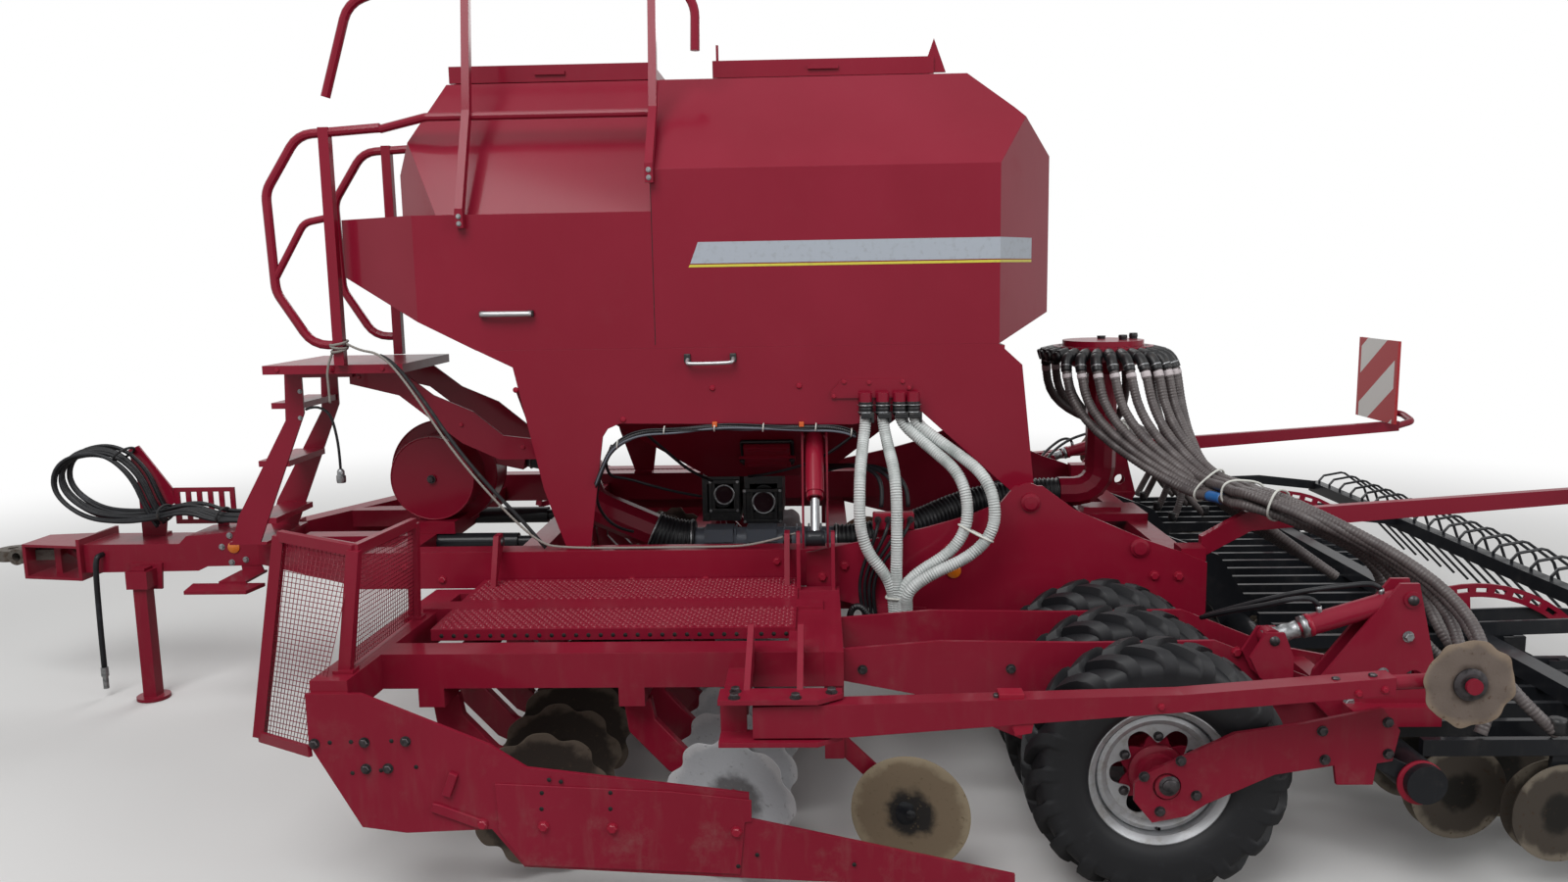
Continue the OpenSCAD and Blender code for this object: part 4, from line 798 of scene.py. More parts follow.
def marker_discs():
    """Wavy marker discs, worn and rusty, on a turned hub."""
    turn = np.linspace(0, 2 * np.pi, 144, endpoint=False)
    for name, side in (("left", 1), ("right", -1)):
        edge = 121 + 3.5 * np.sin(turn * 8) + 1.6 * np.sin(turn * 13 + 1)
        share = np.array([0.06, 0.3, 0.5, 0.7, 0.85, 0.95, 1, 1, 0.95, 0.85, 0.7, 0.5, 0.3, 0.06])
        face = np.array([3, 3, 3, 3, 3, 2.4, 1.2, -1.2, -2.4, -3, -3, -3, -3, -3])
        wave = 2.0 * np.sin(turn * 8 + 0.6)
        r = share[:, None] * edge[None, :]
        depth = face[:, None] + wave[None, :] * share[:, None] ** 4
        points = np.stack([-760 + r * np.cos(turn), side * (marker_y + 40 + depth),
                           marker_z + 105 + r * np.sin(turn)], -1).reshape(-1, 3)
        faces = quads(len(share), len(turn), close_columns=True)
        uv = np.stack([(r / 125).ravel(), np.broadcast_to(turn / (2 * np.pi), r.shape).ravel()], -1)
        parts = [(points, faces[:, ::-1] if side > 0 else faces, uv, 0)]
        hub = turned_arrays([(17, -16), (45, -14), (45, 8), (34, 13), (30, 13), (17, 13), (17, -16)], 36)
        v, f = hub
        spots = np.stack([-760 + v[:, 0], side * (marker_y + 40 + v[:, 2]), marker_z + 105 + v[:, 1]], -1)
        parts.append(no_map((spots, f[:, ::-1] if side > 0 else f), 1))
        vertices, faces, uv = merge([q[:3] for q in parts])
        piece = new_object(f"{name}_marker_disc_finished", place(vertices), faces, marker_steel, uv)
        piece.data.materials.append(dark_bolt)
        piece.data.polygons.foreach_set("material_index",
                                        np.concatenate([np.full(len(q[1]), q[3])
                                                for q in parts]).astype(np.int32))
        shade_edges(piece, 40)
        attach(piece, f"{name}_marker_wheel")
        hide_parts(f"{name}_marker_disc")


# Hoses

def hanging_hose():
    """The loose hydraulic hose at the hitch; its route repeats the solid's."""
    points = [[4235, 120 + seat, 660], [4235, 140, 660], [4240, 158, 655], [4250, 158, 600],
              [4258, 152, 450], [4262, 150, 250], [4262, 150, 140 + seat]]
    path = bent_route(points, 6)
    line = place(path)
    vertices, faces, uv = tube_arrays(line, 12 * mm, 12)
    hose = new_object("hanging_hose_finished", vertices, faces, hose_rubber, uv)
    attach(hose, "chassis")
    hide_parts("hanging_hose")


def hydraulic_loops():
    """Supply hoses looped over the rack at the drawbar, two in each of the solid's four runs, held by
    bands."""
    loop = np.array([[3985, -30, 800], [4020, -20, 860], [4080, -20, 1040], [4210, -10, 1150],
                     [4400, 0, 1110], [4440, 10, 970], [4300, 20, 850],
                     [4120, 20, 830], [3960, 20, 850], [3830, 10, 880], [3700, 10, 830], [3600, 10, 830]],
                     float)
    end = np.array([3560, 10, 765.0])
    routes = []
    for k in range(4):
        start = loop + (k % 2 * 16, k * 30, k * -8)
        whole = bent_route(np.concatenate([start, [end + (0, k * 30, 30), end + (0, k * 30, 0)]]), 6)
        far = np.linspace(0, 1, len(whole))[:, None]
        swing = np.sin(far * 9 + k * 1.7)
        for half in (-1, 1):
            routes.append(whole + np.hstack([0 * far, half * (7 + 0 * far), half * 5 * swing]))
    piece = tubes("hydraulic_hoses_finished", routes, 8.5, hose_rubber, "chassis", sides=10, step=14)
    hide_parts("hydraulic_hoses")
    band = [closed_ring((4150, 25, 1106), (0.75, 0, 0.65), (32, 74)),
            closed_ring((3960, 66, 838), (1, 0, -0.1), (34, 68)),
            closed_ring((3700, 55, 822), (1, 0, 0.1), (32, 66))]
    tubes("hose_bands", band, 6, strap_web, "chassis", sides=8, step=10)


def closed_ring(centre, axis, radii, turns=33):
    """Route of an oval ring about a centre; the first radius lies nearest to upright, or to X about an
    upright axis, and the second across."""
    axis = unit(np.asarray(axis, float))
    across = unit(np.cross(axis, (0, 0, 1.0) if abs(axis[2]) < 0.9 else (1.0, 0, 0)))
    upright = np.cross(across, axis)
    t = np.linspace(0, 2 * np.pi, turns)[:, None]
    return np.asarray(centre, float) + upright * np.cos(t) * radii[0] + across * np.sin(t) * radii[1]


def round_bundle(routes, near, radius):
    """Route of a tie drawn tight round a bundle: the routes' points nearest to a place give its centre,
    its plane and its two radii."""
    spots, ways = [], []
    for route in routes:
        path = resample(np.asarray(route, float), 6)[0]
        k = int(np.clip(np.argmin(np.linalg.norm(path - np.asarray(near, float), axis=1)), 2,
                        len(path) - 3))
        spots.append(path[k])
        ways.append(unit(path[k + 2] - path[k - 2]))
    spots = np.array(spots)
    centre = (spots.min(0) + spots.max(0)) / 2
    axis = unit(np.mean(ways, 0))
    flat = spots - centre - ((spots - centre) @ axis)[:, None] * axis
    wide = np.linalg.svd(flat, full_matrices=False)[2][0]
    wide = unit(wide - axis * np.dot(wide, axis))
    high = np.cross(axis, wide)
    a = np.abs(flat @ wide).max() + radius + bundle_slack
    b = np.abs(flat @ high).max() + radius + bundle_slack
    t = np.linspace(0, 2 * np.pi, 41)[:, None]
    corner = 0.72
    across = np.sign(np.cos(t)) * np.abs(np.cos(t)) ** corner
    along = np.sign(np.sin(t)) * np.abs(np.sin(t)) ** corner
    return centre + wide * across * a + high * along * b


spigot_x = (815, 752, 690, 640)
spigot_z = 1370
pipe_top = (705, arch_y + 90, 510)
white_swing = ((-30, 60), (40, 62), (230, 66), (270, 112))


def white_hose_set():
    """White spiral hoses from the spigot plate to the bent pipe, with black cuffs, clamps and nylon
    ties."""
    routes = []
    for k, x in enumerate(spigot_x):
        y, q = hop_half + 50, white_swing[k]
        bowed = [[x, y, spigot_z - 12], [x, y, spigot_z - 50], [x - q[0] * 0.4, y + 20, 1240],
                 [x - q[0], arch_y + q[1], 1130], [x - q[0], arch_y + q[1] + 20, 900],
                 [730 - 14 * k, arch_y + q[1] + 20, 760], [722 - 16 * k, arch_y + 60 + 14 * k, 640],
                 [pipe_top[0] + 8, arch_y + 90, 560], np.add(pipe_top, (0, 0, 12))]
        routes.append(np.concatenate([[[x, y, spigot_z - seat]], bent_route(bowed, 8),
                                      [np.add(pipe_top, (0, 0, seat))]]))
    hoses = tubes("white_hoses_finished", routes, 22, white_hose, "chassis", sides=16, rib=(9, 2.2))
    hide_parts("white_hoses")
    cuffs = [[[x, hop_half + 50, spigot_z + 26], [x, hop_half + 50, spigot_z - 22]] for x in spigot_x]
    cuffs += [[np.add(pipe_top, (0, 0, 34)), np.add(pipe_top, (0, 0, -6))]]
    tubes("white_hose_cuffs", cuffs, 27, black_plastic, "chassis", sides=18, step=12, rib=(13, 2))
    clamps = []
    for x in spigot_x:
        clamps.append([[x - 24, x + 18], [hop_half + 74, hop_half + 84], [spigot_z - 34, spigot_z - 14]])
        clamps.append([[x - 30, x - 20], [hop_half + 52, hop_half + 82], [spigot_z - 50, spigot_z - 10]])
    tubes("white_hose_clips", [closed_ring((x, hop_half + 50, z), (0, 0, 1), (28.5, 28.5), 33)
                               for x in spigot_x for z in (spigot_z + 14, spigot_z - 12)], 2.2, zinc,
                               "chassis", sides=6, step=6)
    boxes("white_hose_clamps", clamps, black_plastic, "chassis", bevel=3)
    ties = [round_bundle(routes[2:], (455, 1090, 960), 22),
            round_bundle(routes[:2], (730, 1080, 700), 22), round_bundle(routes, (712, 1075, 620), 22)]
    tubes("white_hose_ties", ties, 4.5, white_nylon, "chassis", sides=8, step=8)


head = np.array([-240, 100, 1530.0])
head_r = 210
bundle = np.array([-520, 925, 1010.0])
elbow_count = 28


def offset(k):
    """Place of hose k in its bundle: four side by side, then the next layer."""
    return np.array([-44 * (k % 4), 0, 44 * (k // 4)], float)


def seed_route(k, target):
    """One seed hose: leaves the head sideways, falls, and follows its target points."""
    a = 2 * math.pi / elbow_count * (k + 0.5)
    out = np.array([math.cos(a), math.sin(a), 0])
    base = np.array([head[0], head[1], 0])
    p = base + out * (head_r + 30.4) + (0, 0, 1505)
    p1 = p + out * 22 - (0, 0, 2)
    q = base + out * (head_r + 90) + (0, 0, 1490)
    fall = np.array([head[0] + math.cos(a) * (head_r + 110) * 0.9 - 40,
                     head[1] + math.sin(a) * (head_r + 150), 1250])
    t = [np.asarray(v, float) for v in target]
    last = t[-1] + unit(t[-1] - t[-2]) * 10
    return np.concatenate([[p], bent_route([p1, q, fall] + t, 6), [last]])


def stretch(route, start, end):
    """Piece of a route between two distances along it."""
    path, at = resample(np.asarray(route, float), 6)
    return path[(at >= start) & (at <= end)]


def seed_hose_set():
    """Seed hoses from the distributor's elbows to the rows, and to the bundles at the wings' hinges."""
    flip = np.array([1, -1, 1.0])
    left = [seed_route(k + 3, [(-420 - 20 * k, 640, 1000 + 10 * k), bundle + offset(k) - (0, 80, 0),
                               bundle + offset(k) - (0, 11, 0)]) for k in range(7)]
    right = [seed_route(18 + k, [(-420 - 20 * k, -640, 1000 + 10 * k),
                                 (bundle + offset(k) - (0, 80, 0)) * flip,
                                 (bundle + offset(k) - (0, 11, 0)) * flip]) for k in range(7)]
    middle = [seed_route(k + 10, [(-560, 700 - 90 * k, 1000), (-820, 790 - 120 * k, 800),
                                  (-960, 800 - 130 * k, 700)]) for k in range(7)]
    hoses = tubes("seed_hoses_finished", left + right + middle, 19, grey_hose, "chassis", sides=14,
                  rib=(14, 1.4))
    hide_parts("seed_hoses")
    cuffs = [stretch(r, 0, 92) for r in left + right + middle]
    tubes("seed_hose_cuffs", cuffs, 22.5, black_plastic, "chassis", sides=16, step=6)
    tubes("seed_hose_clips", [stretch(r, 62, 76) for r in left + right + middle], 24, zinc, "chassis",
          sides=16, step=6)
    tubes("seed_hose_labels", [stretch(r, 96, 124) for r in left + right + middle], 20.2, pale_label,
          "chassis", sides=16, step=6)
    elbows, caps = [], []
    for k in range(elbow_count):
        a = 2 * math.pi / elbow_count * (k + 0.5)
        out = np.array([math.cos(a), math.sin(a), 0])
        base = np.array([head[0], head[1], 0])
        elbows.append(resample(np.array([base + out * (head_r - 34) + (0, 0, 1516),
                                         base + out * (head_r + 8) + (0, 0, 1513),
                                         base + out * (head_r + 48) + (0, 0, 1503)]), 12)[0])
        if k in (0, 1, 2, 17, 25, 26, 27):
            caps.append([base + out * (head_r + 46) + (0, 0, 1504),
                         base + out * (head_r + 62) + (0, 0, 1499)])
    tubes("distributor_elbows", elbows, 25, black_plastic, "chassis", sides=16, step=12)
    tubes("distributor_caps", caps, 21, black_plastic, "chassis", sides=16, step=8)
    tall = [[[x, y, 1536], [x, y, 1536 + h]] for x, y, h in ((-250, 30, 40), (-318, 128, 48),
            (-380, 62, 52))]
    tubes("distributor_sensors", tall, 19, black_plastic, "chassis", sides=18, step=10, rib=(20, 2))
    for name, group, side in (("left", left, 1), ("right", right, -1)):
        ties = [round_bundle(group, (-586, side * 885, 1030), 19),
                round_bundle(group, (-480, side * 720, 1035), 19)]
        tubes(f"{name}_bundle_ties", ties, 4.5, white_nylon, "chassis", sides=8, step=8)
    tape = stretch(left[0], 1, 4000)
    tubes("blue_tape", [tape[-26:-12]], 20.6, blue_tape, "chassis", sides=14, step=8)


def wing_hose_set():
    """Seed hoses over the wings' hinges: they bend from the frame's bundle to each wing's rows."""
    rows = 6
    row_y = [(985 + outer_y) / 2 + (min(k, rows - 1) - (rows - 1) / 2) * 143 for k in range(7)]
    routes = []
    for k in range(7):
        x = -960 if k % 2 == 0 else -1180
        start = bundle + offset(k)
        bowed = [start + (0, 20, 0), start + (-20, 110, 20), (-960 - 10 * k, 1150 + 60 * k, 860),
                 (-1000, row_y[k] - 20, 640), (x + 20, row_y[k], 498)]
        routes.append(np.concatenate([[start + (0, seat - 1, 0)], bent_route(bowed, 8)]))
    for side, name in ((1, "left"), (-1, "right")):
        flip = np.array([1, side, 1.0])
        hoses = tubes(f"{name}_wing_hoses_finished", [r * flip for r in routes], 19, grey_hose, None,
                      sides=14, rib=(14, 1.4))
        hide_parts(f"{name}_wing_hoses")
        tie = round_bundle([r * flip for r in routes], np.array((-640, 1030, 1015)) * flip, 19)
        ties = tubes(f"{name}_wing_ties", [tie], 4.5, white_nylon, None, sides=8, step=8)
        for piece in (hoses, ties):
            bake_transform(piece)
        boots = [[r[-1] * flip, r[-1] * flip + (0, 0, 46)] for r in routes[:rows]]
        tubes(f"{name}_row_boots", boots, 23, black_plastic, f"{name}_wing", sides=14, step=12)


# Cables, ropes and ties

def cable_sets():
    """Cable loom along the skirt, cables down the front leg, hose loops at the packer's pivot, and the
    rope and strap to the deck."""
    y = hop_half + 9
    loom = bent_route([[1830, y, 1090], [1806, y, 1150], [1764, y, 1235], [1659, y, 1290],
                       [1519, y, 1296], [1378, y, 1306], [1226, y, 1300], [1048, y + 4, 1300],
                       [900, y + 10, 1298],
                       [850, y + 16, 1270]], 6)
    thin = [loom + (0, 9 * math.sin(a), 9 * math.cos(a))
            + np.stack([0 * loom[:, 0], 3 * np.sin(loom[:, 0] / 60 + a), 4 * np.cos(loom[:, 0] / 70 + a)],
                       1) for a in (0.5, 2.2, 3.9)]
    tubes("cable_loom", [loom], 9, loom_hose, "chassis", sides=10, step=12)
    tubes("cable_loom_wires", thin[:2], 3.6, hose_rubber, "chassis", sides=6, step=16)
    tubes("cable_loom_grey", [thin[2], loom + (0, 8, -7)
                              + np.stack([0 * loom[:, 0], 0 * loom[:, 0], 5 * np.sin(loom[:, 0] / 90)],
                                         1)], 4.4, grey_plastic, "chassis", sides=8, step=14)
    wrap = [closed_ring(loom[k] + (0, 2, 0), (1, 0, 0.1), (15, 15), 17) for k in (10, 19, 27, 34, 41, 47)]
    tubes("cable_ties", wrap, 2.6, white_nylon, "chassis", sides=6, step=6)
    boxes("cable_clips", [[[x - 9, x + 9], [y - 6, y + 16], [z - 10, z + 8]] for x,
                          z in ((1375, 1316), (1052, 1312))], orange_clip, "chassis", bevel=2)
    down = [bent_route([[1764, y, 1240], [1792, y - 6, 1180], [1826, y - 30, 1100], [1850, y - 70, 1000],
                        [1800, y - 180, 880], [1740, y - 260, 850]], 6),
            bent_route([[1790, y, 1180], [1800, y - 60, 1110], [1740, y - 140, 1090],
                        [1660, y - 200, 1050], [1560, y - 300, 1000], [1480, y - 420, 960]], 6),
            bent_route([[1640, y, 1286], [1560, y - 120, 1180], [1500, y - 300, 1080],
                        [1440, y - 500, 1010]], 6),
            bent_route([[850, y + 12, 1276], [960, y - 40, 1180], [1080, y - 160, 1120],
                        [1200, y - 360, 1060], [1290, y - 600, 1010]], 6)]
    tubes("frame_cables", down, 6, hose_rubber, "chassis", sides=8, step=16)
    pivot = [bent_route([[748, 1100, 430], [780, 1106, 560], [812, 1108, 640], [850, 1104, 690],
                         [888, 1096, 660], [880, 1090, 560], [872, 1080, 470]], 8)]
    tubes("pivot_loom", pivot, 12, loom_hose, "chassis", sides=12, step=10)
    ring = [bent_route([[660, 1010, 380], [655, 1014, 420], [590, 1020, 450], [510, 1020, 452],
                        [430, 1016, 410], [392, 1006, 330]], 8),
            bent_route([[655, 1000, 370], [640, 1002, 410], [585, 1008, 430], [510, 1008, 432],
                        [445, 1004, 396], [410, 1000, 330]], 8)]
    tubes("packer_hoses", ring, 9, hose_rubber, "chassis", sides=10, step=12)
    down = [bent_route([[774 - 38 * k, 958, 962], [778 - 38 * k, 1004, 955], [792 - 32 * k, 1016, 900],
                        [836 - 20 * k, 1014, 800], [850 - 16 * k, 1010, 700], [826 - 14 * k, 1004, 600]],
                        6)
            for k in range(4)]
    tubes("valve_hoses", down, 7, hose_rubber, "chassis", sides=8, step=14)
    back = [bent_route([[760 - 50 * k, 900, 1000], [748 - 46 * k, 880, 1080], [790 - 30 * k, 800, 1130],
                        [880 - 20 * k, 640, 1120], [960, 420 - 60 * k, 1060]], 6) for k in range(3)]
    tubes("tower_cables", back, 8, hose_rubber, "chassis", sides=8, step=16)
    rope = bent_route([[2852, 660, 1640], [2780, 690, 1600], [2663, 740, 1590], [2545, 790, 1467],
                       [2375, 868, 1235], [2202, 880, 1023], [2053, 880, 870], [1960, 884, rail_top + 8],
                       [1700, 890, rail_top + 7], [1400, 890, rail_top + 8], [1230, 886, rail_top + 10],
                       [1080, 880, 900]], 6)
    tubes("grey_rope", [rope], 5, rope_fibre, "chassis", sides=8, step=14, rib=(14, 0.8))
    strap = bent_route([[2700, 650, 1575], [2636, 700, 1560], [2504, 780, 1425], [2373, 846, 1255],
                        [2240, 872, 1095], [2105, 876, 950], [2030, 872, rail_top + 6]], 6)
    tubes("black_strap", [strap], 7, strap_web, "chassis", sides=8, step=16)
    coil = [closed_ring((2856, 662, 1600 + 14 * k), (0.15 * (-1) ** k, 0.2, 1), (30 + 2 * k, 30), 25)
            for k in range(3)]
    coil.append(bent_route([[2884, 664, 1590], [2910, 668, 1531], [2908, 668, 1459], [2906, 668, 1393]],
                           6))
    tubes("rope_coil", coil, 5, rope_fibre, "chassis", sides=8, step=8)


def lamp_lead():
    """Lead of the lamps with its plug, hanging from the ladder."""
    route = bent_route([[3100, 456, 1345], [3081, 464, 1354], [3035, 470, 1356], [2991, 472, 1325],
                        [2974, 472, 1244], [2967, 472, 1167], [2967, 472, 1100]], 6)
    line = place(resample(route, 12)[0])
    vertices, faces, uv = tube_arrays(line, 5.5 * mm, 10)
    lead = new_object("lamp_lead", vertices, faces, hose_rubber, uv)
    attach(lead, "chassis")
    v, f = turned_arrays([(0, -62), (17, -60), (19, -52), (19, -30), (15, -26), (15, -12), (11, -4),
                          (0, 2)], 24)
    plug = new_object("lamp_plug", place(v + np.array([2967, 472, 1100.0])), f, zinc)
    shade_edges(plug)
    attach(plug, "chassis")


# Sheet work on the hopper

def stripe_plates():
    """Silver stripe with a yellow line under it, wrapped round the rear corner of the hopper on both
    sides."""
    for side, name in ((1, "left"), (-1, "right")):
        for label, low, high, front, finish in (("silver", 1908, 1986, (1452, 1422), silver_foil),
                                                ("yellow", 1895, 1904, (1458, 1454), yellow_foil)):
            y = side * (hop_half + 0.8)
            foot = np.array([[front[0], y, low], [320, y, low],
                             [168, side * (500 + 350 * 88 / 240 + 1), low],
                             [168, side * (500 + 350 * 88 / 240 + 1), high], [320, y, high],
                             [front[1], y, high]], float)
            faces = [[0, 1, 4, 5], [1, 2, 3, 4]]
            if side < 0:
                faces = [f[::-1] for f in faces]
            piece = new_object(f"{name}_{label}_stripe", place(foot), faces, finish, smooth=False)
            sheet = piece.modifiers.new("foil", "SOLIDIFY")
            sheet.thickness = 0.8 * mm
            sheet.offset = 0
            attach(piece, "chassis")


def handles():
    """Bright grip on the side wall and silver grip on dark feet below the crease."""
    y = hop_half
    tubes("wall_grip", [bent_route([[2231, y + 20, 1736], [2222, y + 26, 1736], [2053, y + 26, 1735],
                                    [2044, y + 20, 1735]], 6)], 11, light_metal, "chassis", sides=14,
                                    step=6)
    boxes("wall_grip_feet", [[[x - 12, x + 12], [y, y + 22], [1724, 1748]] for x in (2226, 2049)],
          black_plastic, "chassis", bevel=4)
    tubes("skirt_grip", [bent_route([[1470, y + 4, 1560], [1474, y + 26, 1546], [1462, y + 30, 1542],
                                     [1312, y + 30, 1544], [1300, y + 26, 1550], [1302, y + 4, 1562]],
                                     6)], 7.5,
          light_metal, "chassis", sides=12, step=6)
    boxes("skirt_grip_feet", [[[x - 12, x + 12], [y, y + 12], [1546, 1578]] for x in (1472, 1302)],
          black_plastic, "chassis", bevel=3)


def hopper_fittings():
    """Lugs on the lids, seams and buttons of the side wall, the hatch's gasket and bolts, the spigots'
    plate bolts and the meters' window frames."""
    for side in (1, -1):
        name = "left" if side > 0 else "right"
        y = side * 405
        boxes(f"{name}_rear_lid_pin", [[[1366, 1376], [y - 4, y + 4], [2690, 2762]]], red_enamel,
              "rear_lid", bevel=1)
        boxes(f"{name}_front_lid_pin", [[[2372, 2382], [y - 4, y + 4], [2690, 2748]]], red_enamel,
              "front_lid", bevel=1)
        peak = np.array([[566, y, 2640], [519, y, 2770], [472, y, 2640]], float)
        vertices = np.concatenate([peak + (0, 5, 0), peak - (0, 5, 0)])
        faces = [[0, 1, 2], [5, 4, 3], [0, 3, 4, 1], [1, 4, 5, 2], [2, 5, 3, 0]]
        piece = new_object(f"{name}_lid_peak", place(vertices), faces, red_enamel, smooth=False)
        add_bevel(piece, 1.5)
        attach(piece, "rear_lid")
        boxes(f"{name}_wall_seam", [[[step_x - 1.2, step_x + 1.2], [side * hop_half - 0.8,
                side * hop_half + 0.8], [1612, 2248]]], hole_shade_and_seam, "chassis", bevel=0.3)
    buttons = [(1382, 1449), (1059, 1453), (2120, 1452), (820, 1310), (1720, 1335)]
    spots = [(x, side * hop_half, z) for side in (1, -1) for x, z in buttons]
    cap = turned_arrays([(0, 0), (11, 0), (11, 3), (8, 7), (0, 8)], 16)
    v, f = repeat_arrays(*cap, spots, [(0, 1 if q[1] > 0 else -1, 0) for q in spots])
    piece = new_object("wall_buttons", place(v), f, bright_red)
    shade_edges(piece)
    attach(piece, "chassis")
    plate = [(892, 1466), (800, 1462), (676, 1464), (652, 1440), (930, 1412), (664, 1412)]
    bolt_heads("spigot_plate_bolts", [(x, hop_half + 8, z) for x, z in plate], [(0, 1, 0)] * len(plate),
               bright_red, "chassis", across=13, height=6)
    hatch_parts()
    window_frames()


def hatch_parts():
    """Black gasket round the funnel's hatch and the bolts of its cross bar, laid out on the sloping
    wall."""
    origin = np.array([1205, 345, 1128.0])
    down, along, out = np.array([0, -0.727, -0.687]), np.array([1.0, 0, 0]), np.array([0, 0.687, -0.727])
    corner = [(-80, -104), (-80, 104), (80, 104), (80, -104), (-80, -104)]
    route = np.array([origin + down * u + along * v + out * 4 for u, v in corner])
    gasket = np.concatenate([resample(route[k:k + 2], 20)[0] for k in range(4)])
    gasket[0] = gasket[-1] = route[0]
    tubes("hatch_gasket", [gasket], 8, black_plastic, "chassis", sides=8, step=12)
    cuts = [((-72, 72), (-97, 97), (10, 30)), ((-16, 16), (-118, 118), (29, 42)),
            ((-60, -34), (-80, 80), (29, 34)), ((34, 60), (-80, 80), (29, 34))]
    parts = []
    for u, v, w in cuts:
        corners = np.array([origin + down * a + along * b + out * c for c in w for b in v for a in u])
        parts.append((corners, [[0, 2, 3, 1], [4, 5, 7, 6], [0, 1, 5, 4], [2, 6, 7, 3], [0, 4, 6, 2],
                                [1, 3, 7, 5]]))
    vertices, faces, _ = merge(parts)
    cover = new_object("hatch_cover", place(vertices), faces, bright_red, smooth=False)
    add_bevel(cover, 5)
    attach(cover, "chassis")
    spots = [origin + along * v + out * 42 for v in (-104, 104)]
    bolt_heads("hatch_bolts", spots, [out] * len(spots), dark_bolt, "chassis", across=17, height=9)


def window_frames():
    """Black frames with a round window on the meters' left side, and the clips beside them."""
    bars, rings, bolts = [], [], []
    for x0, x1, z0, z1, cx, cz, r in ((1338, 1470, 842, 985, 1403, 920, 42),
                                      (1153, 1322, 792, 944, 1232, 884, 48)):
        y0, y1 = 190.5, 204
        bars += [[[x0, x1], [y0, y1], [z0, z0 + 16]], [[x0, x1], [y0, y1], [z1 - 16, z1]],
                 [[x0, x0 + 14], [y0, y1], [z0, z1]], [[x1 - 14, x1], [y0, y1], [z0, z1]]]
        rings.append(closed_ring((cx, 199, cz), (0, 1, 0), (r, r), 41))
        bars += [[[cx - r - 12, cx - r + 2], [y0 - 2, y0 + 8], [z0 + 8, z1 - 8]],
                 [[cx + r - 2, cx + r + 12], [y0 - 2, y0 + 8], [z0 + 8, z1 - 8]]]
        bolts += [(x, 204, z) for x in (x0 + 7, x1 - 7) for z in (z0 + 8, z1 - 8)]
    boxes("window_frames", bars, black_plastic, "chassis", bevel=2)
    tubes("window_rings", rings, 5, zinc, "chassis", sides=10, step=6)
    glass = [(1403, 192, 920, 42), (1232, 192, 884, 48)]
    v, f, _ = merge([repeat_arrays(*turned_arrays([(0, 0), (r - 3, 0), (r - 3, -1), (0, -1)], 40),
                                   [(x, y, z)], [(0, 1, 0)]) for x, y, z, r in glass])
    panes = new_object("window_panes", place(v), f, pane)
    shade_edges(panes)
    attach(panes, "chassis")
    bolt_heads("window_bolts", bolts, [(0, 1, 0)] * len(bolts), zinc, "chassis", across=9, height=5)


def air_fittings():
    """Rubber sleeves and clamps on the air pipes, ribs of the spiral hoses, and the fan's centre bolt and
    rim."""
    ribs = []
    path, at = resample(bent_route([[1700, 300, 785], [1610, 300, 745], [1520, 300, 745]], 12), 4)
    ribs.append((path, at, 85))
    path, at = resample(bent_route([[928, 300, 745], [700, 300, 745], [260, 100, 900], [-58, 100, 900]],
                                   12), 4)
    ribs.append((path, at, 62))
    parts = [tube_arrays(place(q), (r - 4 + 4 * np.cos(2 * np.pi * d / 18)) * mm, 28) for q, d, r in ribs]
    vertices, faces, uv = merge(parts)
    piece = new_object("air_hoses_finished", vertices, faces, black_hose, uv)
    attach(piece, "chassis")
    sleeve = resample(np.array([[2287, 15, 1094], [2202, 15, 1075.4]]), 10)[0]
    tubes("fan_sleeve", [sleeve], 72, black_plastic, "chassis", sides=28, step=10)
    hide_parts("air_hoses")
    rings = [closed_ring((2270, 15, 1090), (1, 0, 0.22), (74, 74), 41),
             closed_ring((2218, 15, 1079), (1, 0, 0.22), (74, 74), 41),
             closed_ring((1698, 300, 783), (0.9, 0, 0.4), (86, 86), 41),
             closed_ring((1532, 300, 745), (1, 0, 0), (84, 84), 41),
             closed_ring((920, 300, 745), (1, 0, 0), (62, 62), 41)]
    tubes("air_clamps", rings, 4, zinc, "chassis", sides=8, step=8)
    bolt_heads("fan_bolt", [(2660, 272, 1015)], [(0, 1, 0)], dark_bolt, "chassis", across=26, height=14)
    tubes("fan_rims", [closed_ring((2660, y, 1015), (0, 1, 0), (r, r), 61) for y,
                       r in ((259, 179), (70, 179), (95, 234), (-65, 234))], 4, red_enamel, "chassis",
                       sides=8, step=12)
    boxes("injector_ribs", [[[x, x + 8], [246, 354], [690, 800]] for x in range(980, 1500, 52)],
          grey_plastic, "chassis", bevel=2)


def valve_block():
    """Red valve block with four studs beside the packer's arch, on its foot."""
    boxes("valve_block", [[[640, 792], [900, 944], [922, 986]],
                          [[655, 775], [893, 905], [rail_top, 924]]], bright_red, "chassis", bevel=5)
    studs = [(x, 944, 962) for x in (774, 736, 692, 654)]
    bolt_heads("valve_studs", studs, [(0, 1, 0)] * 4, dark_bolt, "chassis", across=19, height=16)


# Guards and treads

def wire_panel(corners, across, down, wire):
    """Wires of a mesh panel on a surface between four corners: a point is the mean of the corners,
    weighted by the two shares."""
    a, b, c, d = [np.asarray(v, float) for v in corners]
    ends = np.linspace(0, 1, 9)[:, None]
    routes = [(a * (1 - u) + b * u) * (1 - ends) + (d * (1 - u) + c * u) * ends
              for u in np.linspace(0, 1, across)]
    routes += [(a * (1 - v) + d * v) * (1 - ends) + (b * (1 - v) + c * v) * ends
               for v in np.linspace(0, 1, down)]
    return [tube_arrays(place(r[::8]), wire / 2 * mm, 5) for r in routes]


